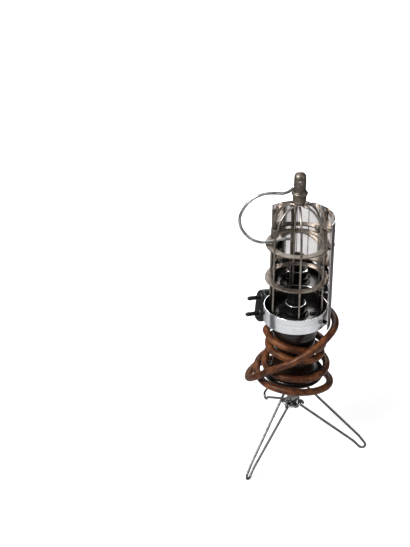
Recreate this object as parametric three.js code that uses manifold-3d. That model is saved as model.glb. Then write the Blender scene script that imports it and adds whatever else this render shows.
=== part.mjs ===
// Hand lamp: a wire cage on a lampholder, with a bobbin handle that carries its own wound cord,
// three folding wire legs, a turning reflector and a swivelling hanging hook.
// Millimetres, +Z up. The lamp is drawn about its own axis with the floor at zero height.
import * as THREE from "three";
import { mergeVertices } from "three/addons/utils/BufferGeometryUtils.js";
import Module from "manifold-3d";

const wasm = await Module();
wasm.setup();

// Driving dimensions
const seatGap = 0.3; // clearance between pieces that touch
const overrun = 1; // how far a cutting tool passes a face
const roundSides = 30; // sides of a large round piece
const smallSides = 10; // sides of a small round piece
const mediumSides = 18; // sides of the lampholder, the cap, the stem and its nuts
const wireSides = 6; // sides of a bent wire
const hexagonSides = 6;
const wireHoleSides = 8;
const mergeReach = 1e-4; // corners nearer than this are one corner

// Handle, a hollow bobbin
const handleBottom = 92;
const handleHeight = 78;
const handleRimRadius = 24.5;
const handleFlangeRadius = 34.5;
const handleFlangeLow = 5; // start of the flange's full radius over the bottom
const handleFlangeThick = 6.5;
const handleWaistRadius = 23.6;
const handleWaistLow = 30;
const handleTaper = 5; // height of the slope from the waist up to the bead
const handleBeadRadius = 25;
const handleBeadThick = 20;
const handleBoreRadius = 18;
const handleTopWall = 7;
const handleEdge = 1.2; // rounding of the handle's corners
const leadHoleRadius = 3.6;
const sideScrewAzimuth = 237; // a small bright screw in the waist
const sideScrewDrop = 2; // how far under the waist's top it sits
const clampScrewX = 5.3; // cord clamp inside the bore
const clampPostWidth = 4.6;
const clampStart = -1.5;
const clampWidth = 8;
const clampThick = 1.9;
const clampScrewLength = 17;
const clampCoverShare = 0.9; // how much of the cord's half width the strap covers
const innerCordLength = 11.6; // sheathed cord between the relief and the clamp
const innerLeadRadius = 1.1;
const innerLeadSpread = 0.25;
const innerLeadSteps = 16;
const lugWidth = 6.4; // lugs in the bore that take the bottom plate's screws
// Bends of the two leads on their way up, in shares of the cord's radius from the outlet's height
const leadTurnShares = [
  [[2.12, -2.1, -0.35], [0.7, -1.65, -0.56], [-0.35, -0.94, 0]],
  [[2.12, -2.1, 0.35], [1.06, -1.53, 0.24], [0.35, -0.7, 0.7]],
];

// Cord outlet at the back of the handle
const cordRadius = 4.25;
const outletRoom = 1.75; // room over the cord under the bore's ceiling
const outletAzimuth = 60; // degrees from +X
const outletSkewAngle = 28.7; // turn of the outlet from the radial way
const reliefLength = 22;
const reliefRadius = 6.6;
const reliefTipRadius = 5;
const reliefInside = 14; // how far the relief runs back into the handle

// Lamp base, a moulded disc on the handle
const baseRadius = 34.9;
const baseFlangeThick = 4.2;
const baseBossHeight = 1.6;
const baseStepRadius = 13.6;
const baseStepHeight = 1.4;
const baseScrewReach = 19; // distance of each base screw from the axis

// Lampholder
const holderFootRadius = 12.8;
const holderFootHeight = 4.4;
const holderWaistRadius = 11;
const holderWaistHeight = 7.4;
const barrelRadius = 9.4;
const barrelHeight = 18.4;
const barrelBoreRadius = 8.2;
const barrelThreads = 4;
const threadDepth = 0.45;
const holderFloor = 6; // thickness of the floor under the screw shell
const holderLeadRadius = 3;
const shellWall = 0.6;
const shellHeight = 20;
const shellThreads = 4;
const shadeRingRadius = 12.2;
const shadeRingThick = 2.2;
const contactLength = 9;
const contactWidth = 3.4;
const contactThick = 0.5;
const contactRise = 3;

// Cage
const wireRadius = 1.2;
const wireCount = 6;
const firstWireAzimuth = -87;
const ringWidth = 7.9;
const ringOverhang = 0.6; // how far the upper rings reach past the lamp base
const ringThick = 1.5;
const lowerRingRise = 47.9; // underside of each ring over that of the ring before it
const midRingRise = 42.6;
const domeFootRise = 4.7; // start of the wires' dome over the middle ring's underside
const domeRise = 43;
const domeTopRadius = 5;
const domeEndRadians = 1.4; // where the dome leaves its ellipse
const domeSteps = 8;
const wireTopRadius = 3.3;
const collarWall = 0.8;
const collarHeight = 18.5;
const bandScrewAzimuth = -43;
const bandScrewRise = 10.4; // the screw over the collar's lower edge
const bandScrewLength = 2.8;
const bandScrewHeadRadius = 2.6;
const bandNutSize = 4.6;
const bandNutThick = 1.6;
const ferruleRise = 2; // the ferrule's foot over the top of the wires' dome
const ferruleHeight = 10.9;
const ferruleFootRadius = 6;
const ferruleRadius = 7.5;
const ferruleBore = 4.8;
const ferruleTaper = 3.5; // height of the narrower foot
const knurlSides = 24;
const knurlDepth = 0.35;

// Swivel cap and hook
const capFlangeRadius = 8.9;
const capFlangeThick = 3.5;
const capRadius = 6.7;
const capHeight = 26.3;
const capDome = 5;
const capDomeSteps = 4;
const capEdge = 0.6;
const hookHoleRise = 16.8; // the hook's hole over the cap's foot
const studRadius = 2;
const studHeadRadius = 3.6;
const studHeadThick = 2;
const hookRadius = 1.65;
const hookAzimuth = 183;
const hookHeadRadius = 2.5;
const hookHeadThick = 1.4;
const hookStraightShare = 0.65; // the straight run in the hole, in cap radii
const hookSteps = 46;
// Bends of the hook: shares of its depth outwards and downwards from its hole, and of the cap's
// radius behind it
const hookBendShares = [
  [0.0013, 0.004, 1.2836], [0.0108, 0.0323, 1.5821], [0.031, 0.0943, 1.7313],
  [0.07, 0.1751, 1.5821], [0.1401, 0.2236, 1.1343], [0.2357, 0.229, 0.5373],
  [0.3367, 0.2074, 0.1493], [0.4444, 0.1993, 0], [0.5522, 0.2168, 0], [0.6788, 0.2801, 0],
  [0.7865, 0.3933, 0], [0.8646, 0.5737, 0], [0.8458, 0.7488, 0], [0.7488, 0.8929, 0],
  [0.6465, 0.9697, 0], [0.5495, 0.9993, 0], [0.4444, 0.9939, 0], [0.3542, 0.9805, 0],
  [0.2465, 0.9589, 0], [0.101, 0.9535, 0],
];

// Reflector, a thin part cylinder outside the rings
const reflectorRoom = 3.4; // room between the collar and the sheet
const reflectorWall = 0.6;
const reflectorAzimuth = -29;
const reflectorSweepAngle = 163;
const reflectorDrop = 4; // how far the sheet hangs under the collar's lower edge
const reflectorHeight = 133;
const tabWidth = 8;
const clipWidth = 7;
const clipGrip = 2.3; // how far the clips reach over the ring
const clipThick = 0.6;
const clipSag = 0.2; // room for a flat clip behind the curved sheet
const reflectorSides = 28;
const clipShares = [0.09, 0.5, 0.91]; // places of clips and tabs along the sweep
const rivetRadius = 1;
const rivetHeadRadius = 1.9;
const rivetHeadThick = 0.7;

// Stem, hub and legs under the handle
const plateLedge = 2.4; // how far the plate reaches past the handle's bore
const plateThick = 3.4;
const plateScrewInset = 3; // from the bore's wall to each screw's axis
const bossRadius = 8;
const bossHeight = 7.4;
const stemRadius = 5.7;
const stemNeckRadius = 3.6;
const stemNutRadius = 7.2;
const stemNutThick = 4;
const hubRingHeight = 56;
const hubRingRadius = 10.2;
const hubSleeveRadius = 5.6;
const hubSleeveHeight = 7.4;
const capNutRadius = 5.2;
const capNutThick = 3;
const capNutFloor = 1.4;
const earWidth = 5;
const earHeight = 4.8;
const earWall = 1; // metal outside the wire ring
const legAzimuths = [-10, 107, 235];
const footReaches = [84, 91, 90.5];
const footWidth = 9; // height of the U-turn at the foot
const footFlat = 0.4; // depth of the flat worn under each foot
const legTailLength = 5;
const eyeRadius = 2.8;
const eyeStartAngle = -26; // angles of the open eye, in degrees
const eyeEndAngle = 237;
const eyeSteps = 9;
const footSteps = 6;
const footStartAngle = -130; // span of the U-turn at the foot
const footEndAngle = 50;
const footKink = 9.5; // how far in from the foot the strands kink
const footPinchShare = 0.1;
const kinkRiseShare = 0.82;
const upperKinkShare = 0.42;

// Screws
const screwRadius = 1.3;
const screwHeadRadius = 2.9;
const screwHeadThick = 1.9;
const screwLength = 6;
const slotWidth = 0.8;
const slotDepth = 0.7;

// Plug
const plugFace = new THREE.Vector3(-38.9, 33.6, 167.5);
const plugHeading = new THREE.Vector3(-0.76, -0.6, 0.25).normalize(); // way the pins point
const plugRise = new THREE.Vector3(0.108, 0.263, 0.959)
  .projectOnPlane(plugHeading).normalize(); // way from the lower pin to the upper
const plugLength = 38;
const plugDrop = 1; // the body's middle below the middle between the pins
const plugWidth = 17.6;
const plugDepth = 15;
const plugEdge = 2;
const pinPitch = 19;
const pinRadius = 2.4;
const pinLength = 20;
const pinSeat = 9; // how far the pins go into the body
const plugSides = 7;
const plugEntryRise = 10.5; // how far over the plug's centre the cord enters
const plugEntryRadius = 7.2;
const plugEntryLength = 4;
const plugEntryAim = new THREE.Vector3(0.906, 0.42, 0.05).normalize();
const gripRadius = 6.4;
const gripLength = 6;

// Places of the cord: [azimuth in degrees, distance from the axis, height]
const exitStations = [
  [82.6, 64.5, 153.5], [93.1, 69.3, 148.5], [103.9, 66, 144], [111.6, 56.4, 141.6],
  [121, 47, 140.8], [135, 40.2, 141.4],
];
const stationStartAzimuth = 150; // azimuth of the first station of the wound loops
const stationPitchAngle = 30; // degrees from one station to the next
const windingStations = [
  [36.2, 144.8], [31.4, 151.8], [29.9, 151], [29.8, 149.2], [29.8, 145.8], [30, 142.6],
  [31.4, 140], [33, 138], [32.6, 137], [30.8, 137], [30, 137.4], [29.9, 137.8],
  [29.7, 138], [29.6, 137.6], [29.6, 136.2], [29.7, 134.8], [29.8, 131.6], [30, 130],
  [30.4, 128], [31.2, 126], [31.2, 125.2], [30.8, 125.2], [31, 125], [31.6, 123.4],
  [32.2, 119.4], [33, 114.4], [34.8, 113.6], [35.8, 112.2], [36.2, 111.4], [36.8, 110.2],
  [37.2, 110], [37.6, 110.8], [37.4, 111.8], [37, 112.4], [37.2, 112], [38.8, 109.4],
  [42, 105.4], [42.4, 101.6], [41.4, 98.6], [41.6, 98.6], [42, 97.6], [42, 95],
  [42.4, 91], [42.6, 87], [41.4, 85.4], [40.6, 86.2], [40.2, 88.2],
];
const leadStations = [
  [130, 45.6, 92], [148, 48.2, 91.4], [164, 50.8, 90.2],
  [178, 52, 90.8], [192, 52.1, 96.4], [206, 49.5, 105.4], [220, 45.4, 114.7], [234, 43.2, 123.2],
  [249, 42.4, 130.6], [264, 42.2, 137.4], [278, 42.2, 144], [293, 42.2, 150.4],
  [310, 42.4, 156.2], [330, 43.2, 160.8], [350, 45, 163.6], [10, 46.2, 165.4], [30, 46.6, 167],
  [50, 47, 168.6], [68, 48.4, 170.6], [84, 51.4, 172.6],
];
const loopSteps = 24; // steps of the wound cord in each loop
const loopSides = 6;
const leadStep = 2.2; // steps of the lead, in cord diameters
const leadSides = 10;
const exitLoopShare = 0.45; // the run from the outlet to the first station, in loops
const jointAim = new THREE.Vector3(-1, 0, 0.08).normalize(); // way the cord goes at the joint
const fineSteps = 900;
const cordPieces = [
  "strain_relief", "cord_winding", "cord_lead", "plug_body", "plug_pin_1", "plug_pin_2",
  "plug_screw", "plug_grip",
];

const material = (color, roughness, metalness) =>
  new THREE.MeshStandardMaterial({ color, roughness, metalness });
const bakelite = material(0x1f1512, 0.3, 0);
const blackRubber = material(0x141315, 0.6, 0);
const brownRubber = material(0x6b3d2a, 0.5, 0);
const chrome = material(0xd8dadd, 0.12, 1);
const nickel = material(0x9a9288, 0.35, 1);
const mirror = material(0xc9ccd0, 0.08, 1);
const brass = material(0xb08d4a, 0.3, 1);
const steel = material(0x84868a, 0.4, 1);

const lamp = new THREE.Group();

// Adds one named piece to the lamp
function addPiece(name, geometry, finish) {
  const mesh = new THREE.Mesh(geometry, finish);
  mesh.name = name;
  lamp.add(mesh);
}

const radians = THREE.MathUtils.degToRad;
const upward = new THREE.Vector3(0, 0, 1);

function polar(azimuth, radius, height) {
  const angle = radians(azimuth);
  return new THREE.Vector3(radius * Math.cos(angle), radius * Math.sin(angle), height);
}

// The point at a distance from a place along a direction
const along = (place, direction, distance) =>
  place.clone().addScaledVector(direction, distance);

// Turns a closed geometry into a solid that can be joined and cut
function toSolid(geometry) {
  const bare = geometry.clone();
  bare.deleteAttribute("normal");
  bare.deleteAttribute("uv");
  const merged = mergeVertices(bare, mergeReach);
  return new wasm.Manifold(
    new wasm.Mesh({
      numProp: 3,
      vertProperties: Float32Array.from(merged.attributes.position.array),
      triVerts: Uint32Array.from(merged.index.array),
    }),
  );
}

function toGeometry(solid) {
  const mesh = solid.getMesh();
  const geometry = new THREE.BufferGeometry();
  geometry.setAttribute("position", new THREE.BufferAttribute(mesh.vertProperties, 3));
  geometry.setIndex(new THREE.BufferAttribute(mesh.triVerts, 1));
  return geometry;
}

const joined = (geometries) =>
  toGeometry(geometries.map(toSolid).reduce((sum, solid) => sum.add(solid)));

const cut = (geometry, tools) =>
  toGeometry(tools.map(toSolid).reduce((rest, tool) => rest.subtract(tool), toSolid(geometry)));

// A round body about Z from an outline of [radius, height] pairs, listed upwards on its outside,
// that starts and ends on the axis or closes on itself
function turned(outline, sides = roundSides) {
  const points = outline.map(([radius, height]) => new THREE.Vector2(radius, height));
  return new THREE.LatheGeometry(points, sides).rotateX(Math.PI / 2);
}

const ringBody = (inner, outer, bottom, top, sides = roundSides) =>
  turned([[inner, bottom], [outer, bottom], [outer, top], [inner, top], [inner, bottom]], sides);

const disc = (radius, bottom, top, sides = smallSides) =>
  turned([[0, bottom], [radius, bottom], [radius, top], [0, top]], sides);

// A box between two corners
function block(low, high) {
  const size = high.map((value, axis) => value - low[axis]);
  const middle = high.map((value, axis) => (value + low[axis]) / 2);
  return new THREE.BoxGeometry(...size).translate(...middle);
}

// Moves geometry drawn about Z so that its Z axis leaves a place along a direction
function aimed(geometry, place, direction, sideways = upward) {
  const forward = direction.clone().normalize();
  const right = new THREE.Vector3().crossVectors(sideways, forward).normalize();
  const up = new THREE.Vector3().crossVectors(forward, right);
  return geometry.applyMatrix4(new THREE.Matrix4().makeBasis(right, up, forward).setPosition(place));
}

// Turns geometry drawn at azimuth 0 about the lamp's axis
const turnedTo = (geometry, azimuth) => geometry.rotateZ(radians(azimuth));

// A path that a section follows from one given point to the next
class PointPath extends THREE.Curve {
  constructor(points) {
    super();
    this.points = points;
  }

  getPointAt(share) {
    return this.points[Math.round(share * (this.points.length - 1))].clone();
  }

  getTangentAt(share) {
    const last = this.points.length - 1;
    const index = Math.round(share * last);
    const before = this.points[Math.max(index - 1, 0)];
    const after = this.points[Math.min(index + 1, last)];
    return after.clone().sub(before).normalize();
  }
}

// A round bar through points
function bar(points, radius, sides = wireSides) {
  const corners = Array.from({ length: sides }, (_, side) => {
    const angle = (2 * Math.PI * side) / sides;
    return new THREE.Vector2(radius * Math.cos(angle), radius * Math.sin(angle));
  });
  const section = new THREE.Shape(corners);
  const extrudePath = new PointPath(points);
  return new THREE.ExtrudeGeometry(section, {
    steps: points.length - 1,
    bevelEnabled: false,
    extrudePath,
  });
}

// A slotted screw about Z: its head stands on zero height and its shank goes down
function slottedScrew(length = screwLength, headRadius = screwHeadRadius) {
  const outline = [
    [0, -length], [screwRadius, -length], [screwRadius, 0], [headRadius, 0],
    [headRadius, screwHeadThick / 2], [headRadius - slotDepth / 2, screwHeadThick],
    [0, screwHeadThick],
  ];
  const slot = block(
    [-headRadius - overrun, -slotWidth / 2, screwHeadThick - slotDepth],
    [headRadius + overrun, slotWidth / 2, screwHeadThick + overrun],
  );
  return cut(turned(outline, smallSides), [slot]);
}

const screwHole = (depth) => disc(screwRadius + seatGap, -depth, overrun);

// Handle: a bobbin with a flange below, a bead above and a bore, open below
const handleTop = handleBottom + handleHeight;
const handleCeiling = handleTop - handleTopWall;
const beadLow = handleTop - handleBeadThick;
const waistTop = beadLow - handleTaper;
const plateRadius = handleBoreRadius + plateLedge;
const plateScrewReach = handleBoreRadius - plateScrewInset;
const plateBottom = handleBottom + seatGap;
const plateTop = plateBottom + plateThick;
const outletHeight = handleCeiling - outletRoom - cordRadius;
const outletAim = polar(outletAzimuth + outletSkewAngle, 1, 0);
const outletFace = polar(outletAzimuth, handleBeadRadius, outletHeight);
const plateScrewAzimuths = [30, 150, 270];
const sideScrewAim = polar(sideScrewAzimuth, 1, 0);
const sideScrewFace = polar(sideScrewAzimuth, handleWaistRadius, waistTop - sideScrewDrop);

function handleGeometry() {
  const flangeLow = handleBottom + handleFlangeLow;
  const flangeHigh = flangeLow + handleFlangeThick;
  const ledge = plateTop + seatGap;
  const recess = plateRadius + seatGap;
  const outline = [
    [recess, handleBottom], [handleRimRadius, handleBottom],
    [handleRimRadius + handleEdge, handleBottom + handleEdge],
    [handleFlangeRadius - handleEdge, flangeLow - handleEdge], [handleFlangeRadius, flangeLow],
    [handleFlangeRadius, flangeHigh - handleEdge], [handleFlangeRadius - handleEdge, flangeHigh],
    [handleWaistRadius + 2 * handleEdge, flangeHigh + handleFlangeThick],
    [handleWaistRadius, handleBottom + handleWaistLow],
    [handleWaistRadius, waistTop],
    [handleBeadRadius - handleEdge, beadLow], [handleBeadRadius, beadLow + handleEdge],
    [handleBeadRadius, handleTop - handleEdge], [handleBeadRadius - handleEdge, handleTop],
    [leadHoleRadius, handleTop], [leadHoleRadius, handleCeiling],
    [handleBoreRadius, handleCeiling], [handleBoreRadius, ledge], [recess, ledge],
    [recess, handleBottom],
  ];
  const cordHole = disc(
    reliefRadius + seatGap, -reliefInside - overrun, handleBeadRadius, mediumSides,
  );
  const holes = [
    aimed(cordHole, outletFace, outletAim),
    aimed(screwHole(screwLength), sideScrewFace, sideScrewAim),
    disc(screwRadius + seatGap, handleCeiling - overrun, handleTop - overrun)
      .translate(clampScrewX, clampStart + clampWidth / 2, 0),
  ];
  for (const side of [-1, 1]) {
    holes.push(screwHole(handleTopWall + overrun).translate(side * baseScrewReach, 0, handleTop));
  }
  const lugs = plateScrewAzimuths.map((azimuth) => {
    const place = polar(azimuth, plateScrewReach, ledge + screwLength);
    holes.push(screwHole(screwLength + overrun).translate(...place));
    const lug = block(
      [plateScrewReach - lugWidth / 2, -lugWidth / 2, ledge],
      [handleBoreRadius + overrun, lugWidth / 2, ledge + screwLength + 2 * overrun],
    );
    return turnedTo(lug, azimuth);
  });
  return cut(joined([turned(outline), ...lugs]), holes);
}

// Cord clamp in the bore: a strap under the cord on a post that is screwed to the ceiling
function clampGeometry() {
  const cordX = clampScrewX + clampPostWidth / 2 + seatGap + cordRadius;
  const strapTop = outletHeight - cordRadius - seatGap;
  const postLow = clampScrewX - clampPostWidth / 2;
  const strap = block(
    [postLow, clampStart, strapTop - clampThick],
    [cordX + cordRadius * clampCoverShare, clampStart + clampWidth, strapTop],
  );
  const post = block(
    [postLow, clampStart, strapTop - clampThick],
    [clampScrewX + clampPostWidth / 2, clampStart + clampWidth, handleCeiling - seatGap],
  );
  const hole = disc(screwRadius + seatGap, -handleHeight, handleHeight);
  hole.translate(clampScrewX, clampStart + clampWidth / 2, outletHeight);
  return cut(joined([strap, post]), [hole]);
}

// Lamp base: a moulded disc with a boss, a step for the lampholder and holes
const ringOuter = baseRadius + ringOverhang;
const ringInner = ringOuter - ringWidth;
const wireCircleRadius = (ringInner + ringOuter) / 2;
const baseBossRadius = ringInner - 2 * seatGap;
const baseBottom = handleTop + seatGap;
const baseFlangeTop = baseBottom + baseFlangeThick;
const baseBossTop = baseFlangeTop + baseBossHeight;
const baseTop = baseBossTop + baseStepHeight;

function baseGeometry() {
  const outline = [
    [leadHoleRadius, baseBottom], [baseRadius, baseBottom], [baseRadius, baseFlangeTop],
    [baseBossRadius, baseFlangeTop], [baseBossRadius, baseBossTop],
    [baseStepRadius + baseStepHeight, baseBossTop], [baseStepRadius, baseTop],
    [leadHoleRadius, baseTop], [leadHoleRadius, baseBottom],
  ];
  const holes = [-1, 1].map((side) =>
    disc(screwRadius + seatGap, baseBottom - overrun, baseTop + overrun)
      .translate(side * baseScrewReach, 0, 0),
  );
  return cut(turned(outline), holes);
}

function baseScrewsGeometry() {
  const length = baseBossTop - handleTop + handleTopWall;
  const places = [-1, 1].map((side) => side * baseScrewReach);
  return places.map((x) => slottedScrew(length).translate(x, 0, baseBossTop + seatGap));
}

// Waves of a thread along Z, as outline points from low to high
function threadWaves(radius, depth, low, high, turns) {
  const points = [];
  for (let half = 0; half <= 2 * turns; half += 1) {
    const height = low + ((high - low) * half) / (2 * turns);
    points.push([half % 2 ? radius : radius - depth, height]);
  }
  return points;
}

// Lampholder: a moulded foot and a threaded barrel, open above, with a lead hole in its floor
const holderBottom = baseTop + seatGap;
const holderShoulder = holderBottom + holderFootHeight + holderWaistHeight;
const holderTop = holderShoulder + barrelHeight;
const shellBottom = holderBottom + holderFloor + seatGap;
const shadeRingBottom = holderShoulder + seatGap;

function holderGeometry() {
  const threadLow = shadeRingBottom + shadeRingThick + seatGap;
  return turned([
    [holderLeadRadius, holderBottom], [holderFootRadius, holderBottom],
    [holderFootRadius, holderBottom + holderFootHeight],
    [holderWaistRadius, holderBottom + holderFootHeight], [holderWaistRadius, holderShoulder],
    [barrelRadius - threadDepth, holderShoulder],
    ...threadWaves(barrelRadius, threadDepth, threadLow, holderTop - threadDepth, barrelThreads),
    [barrelRadius - threadDepth, holderTop], [barrelBoreRadius, holderTop],
    [barrelBoreRadius, holderBottom + holderFloor],
    [holderLeadRadius, holderBottom + holderFloor], [holderLeadRadius, holderBottom],
  ], mediumSides);
}

function shellGeometry() {
  const outer = barrelBoreRadius - seatGap;
  const top = shellBottom + shellHeight;
  const outside = threadWaves(outer, threadDepth, shellBottom, top, shellThreads);
  const inside = outside.map(([radius, height]) => [radius - shellWall, height]).reverse();
  return turned([...outside, ...inside, outside[0]], mediumSides);
}

// Centre contact: a springy brass strip, bent back over itself on the holder's floor
function contactGeometry() {
  const half = contactLength / 2;
  const outline = new THREE.Shape();
  outline.moveTo(-half, 0);
  outline.lineTo(half, 0);
  outline.lineTo(half, contactThick);
  outline.lineTo(-half + 2 * contactThick, contactThick);
  outline.lineTo(half / 2, contactRise - contactThick);
  outline.lineTo(half / 2, contactRise);
  outline.lineTo(-half, contactThick);
  outline.closePath();
  const strip = new THREE.ExtrudeGeometry(outline, { depth: contactWidth, bevelEnabled: false });
  strip.translate(0, 0, -contactWidth / 2).rotateX(Math.PI / 2);
  return strip.translate(0, 0, shellBottom);
}

// Two insulated leads from the clamped cord, up through the base to the lampholder
const innerCordEnd = along(outletFace, outletAim, -reliefInside - seatGap - innerCordLength);

function leadsGeometry() {
  return [-1, 1].map((side, index) => {
    const shift = side * (innerLeadRadius + seatGap / 2 + innerLeadSpread);
    const start = along(along(innerCordEnd, outletAim, -seatGap), upward, shift);
    const turn = along(start, outletAim, -cordRadius / 2);
    const bends = leadTurnShares[index].map(([x, y, z]) =>
      new THREE.Vector3(x, y, z).multiplyScalar(cordRadius).add(
        new THREE.Vector3(0, 0, outletHeight),
      ),
    );
    const curve = new THREE.CatmullRomCurve3([
      start, turn, ...bends,
      new THREE.Vector3(shift, 0, handleCeiling + innerLeadRadius),
      new THREE.Vector3(shift, 0, baseBottom),
      new THREE.Vector3(shift, 0, holderBottom + holderFloor - seatGap),
    ]);
    return bar(curve.getSpacedPoints(innerLeadSteps), innerLeadRadius);
  });
}

// Flat ring that the cage wires pass through
function cageRing(bottom, outer = ringOuter) {
  const holes = wireAzimuths.map((azimuth) =>
    disc(wireRadius + seatGap, bottom - overrun, bottom + ringThick + overrun, wireHoleSides)
      .translate(...polar(azimuth, wireCircleRadius, 0)),
  );
  return cut(ringBody(ringInner, outer, bottom, bottom + ringThick), holes);
}

const wireAzimuths = Array.from(
  { length: wireCount },
  (_, index) => firstWireAzimuth + (index * 360) / wireCount,
);
const collarBottom = handleTop;
const collarInner = baseRadius + seatGap;
const collarRadius = collarInner + collarWall;
const bottomRingHeight = baseFlangeTop + seatGap; // undersides of the three rings
const lowerRingHeight = bottomRingHeight + lowerRingRise;
const midRingHeight = lowerRingHeight + midRingRise;
const domeFoot = midRingHeight + domeFootRise;
const domeTop = domeFoot + domeRise;
const ferruleBottom = domeTop + ferruleRise;
const ferruleTop = ferruleBottom + ferruleHeight;
const ferruleCeiling = ferruleBottom + ferruleHeight / 2 + seatGap;

// One cage wire: straight, then a dome in to the ferrule, then up inside it, under the stud's head
function wirePoints(azimuth) {
  const points = [
    [wireCircleRadius, bottomRingHeight], [wireCircleRadius, lowerRingHeight],
    [wireCircleRadius, midRingHeight],
  ];
  const semiAxis = wireCircleRadius - domeTopRadius;
  for (let step = 0; step <= domeSteps; step += 1) {
    const angle = (step / domeSteps) * domeEndRadians;
    points.push([
      domeTopRadius + semiAxis * Math.cos(angle),
      domeFoot + domeRise * Math.sin(angle),
    ]);
  }
  points.push([domeTopRadius + wireRadius, domeTop - wireRadius / 2]);
  points.push([(domeTopRadius + wireTopRadius) / 2, domeTop + wireRadius / 4]);
  points.push([wireTopRadius, ferruleBottom - wireRadius / 2]);
  points.push([wireTopRadius, ferruleCeiling - 2 * seatGap - studHeadThick]);
  return points.map(([radius, height]) => polar(azimuth, radius, height));
}

function collarGeometry() {
  const top = collarBottom + collarHeight;
  const bevel = collarWall / 3;
  const band = turned([
    [collarInner, collarBottom], [collarRadius - bevel, collarBottom],
    [collarRadius, collarBottom + bevel], [collarRadius, top - bevel],
    [collarRadius - bevel, top], [collarInner, top], [collarInner, collarBottom],
  ]);
  const hole = disc(screwRadius + seatGap, -collarRadius / 2, collarRadius / 2);
  return cut(band, [aimed(hole, bandScrewFace, bandScrewAim)]);
}

const bandScrewAim = polar(bandScrewAzimuth, 1, 0);
const bandScrewFace = polar(bandScrewAzimuth, collarRadius + seatGap, collarBottom + bandScrewRise);

function bandNutGeometry() {
  const half = bandNutSize / 2;
  const nut = block([-half, -half, -bandNutThick], [half, half, 0]);
  const tapped = cut(nut, [screwHole(2 * bandNutThick)]);
  return aimed(tapped, along(bandScrewFace, bandScrewAim, -collarWall - 3 * seatGap), bandScrewAim);
}

// Ferrule: a knurled sleeve over the wires' ends with a hole for the swivel stud
function ferruleGeometry() {
  const studHole = studRadius + seatGap;
  const sleeve = turned([
    [studHole, ferruleCeiling], [ferruleBore, ferruleCeiling], [ferruleBore, ferruleBottom],
    [ferruleFootRadius, ferruleBottom], [ferruleRadius - knurlDepth, ferruleBottom + ferruleTaper],
    [ferruleRadius, ferruleBottom + ferruleTaper + knurlDepth],
    [ferruleRadius, ferruleTop - 2 * knurlDepth], [ferruleRadius - 2 * knurlDepth, ferruleTop],
    [studHole, ferruleTop], [studHole, ferruleCeiling],
  ], knurlSides);
  const place = sleeve.attributes.position;
  for (let index = 0; index < place.count; index += 1) {
    const radius = Math.hypot(place.getX(index), place.getY(index));
    const turn = Math.atan2(place.getY(index), place.getX(index)) / (2 * Math.PI);
    const side = Math.round(turn * knurlSides);
    if (radius > ferruleRadius - knurlDepth / 2 && Math.abs(side % 2) === 1) {
      const share = 1 - knurlDepth / radius;
      place.setX(index, place.getX(index) * share);
      place.setY(index, place.getY(index) * share);
    }
  }
  return sleeve;
}

// Swivel cap: a flanged, domed cap with a cross-hole for the hook and a chamber for the stud's head
const capBottom = ferruleTop + seatGap;
const hookHoleHeight = capBottom + hookHoleRise;
const chamberBottom = capBottom + studHeadThick + seatGap;
const chamberTop = chamberBottom + studHeadThick + 2 * seatGap;
const hookAxisAim = polar(hookAzimuth - 90, 1, 0);

function capGeometry() {
  const top = capBottom + capHeight;
  const studHole = studRadius + seatGap;
  const chamberRadius = studHeadRadius + seatGap;
  const domePoints = [];
  for (let step = 0; step <= capDomeSteps; step += 1) {
    const angle = (Math.PI / 2) * (step / capDomeSteps);
    domePoints.push([capRadius * Math.cos(angle), top - capDome + capDome * Math.sin(angle)]);
  }
  domePoints[capDomeSteps][0] = 0;
  const flangeTop = capBottom + capFlangeThick;
  const body = turned([
    [0, chamberTop], [chamberRadius, chamberTop], [chamberRadius, chamberBottom],
    [studHole, chamberBottom], [studHole, capBottom], [capFlangeRadius - capEdge, capBottom],
    [capFlangeRadius, capBottom + capEdge], [capFlangeRadius, flangeTop - capEdge],
    [capFlangeRadius - capEdge, flangeTop], [capRadius, flangeTop], ...domePoints,
  ], mediumSides);
  const hole = disc(hookRadius + seatGap, -capFlangeRadius, capFlangeRadius);
  return cut(body, [aimed(hole, new THREE.Vector3(0, 0, hookHoleHeight), hookAxisAim)]);
}

function studGeometry() {
  const low = ferruleCeiling - seatGap;
  const high = chamberBottom + seatGap;
  return turned([
    [0, low - studHeadThick], [studHeadRadius, low - studHeadThick], [studHeadRadius, low],
    [studRadius, low], [studRadius, high], [studHeadRadius, high],
    [studHeadRadius, high + studHeadThick], [0, high + studHeadThick],
  ], smallSides);
}

// Hook: one bent wire through the cap, peened over in front of it
function hookGeometry() {
  const outward = polar(hookAzimuth, 1, 0);
  const hole = new THREE.Vector3(0, 0, hookHoleHeight);
  const depth = hookHoleHeight - midRingHeight - ringThick - hookRadius - seatGap;
  const straight = [-1, 0, 1].map((side) =>
    along(hole, hookAxisAim, side * hookStraightShare * capRadius),
  );
  const exit = along(hole, hookAxisAim, capRadius + 2 * seatGap);
  const bends = hookBendShares.map(([reach, drop, behind]) =>
    along(
      along(along(hole, outward, reach * depth), upward, -drop * depth),
      hookAxisAim, behind * capRadius,
    ),
  );
  const start = along(hole, hookAxisAim, -capRadius - 2 * seatGap - hookHeadThick);
  const curve = new THREE.CatmullRomCurve3([exit, ...bends]);
  const wire = bar([start, ...straight, ...curve.getSpacedPoints(hookSteps)], hookRadius);
  const head = aimed(disc(hookHeadRadius, 0, hookHeadThick), start, hookAxisAim);
  return joined([wire, head]);
}

// Reflector: a thin part cylinder with tabs bent in under the collar
const reflectorInner = collarRadius + reflectorRoom;
const reflectorRadius = reflectorInner + reflectorWall;
const clipReach = ringOuter - clipGrip;
const clipAzimuths = clipShares.map((share) => reflectorAzimuth + share * reflectorSweepAngle);
const clipTop = midRingHeight + ringThick + seatGap + clipThick;
const rivetHeight = clipTop + seatGap + rivetHeadRadius;

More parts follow.
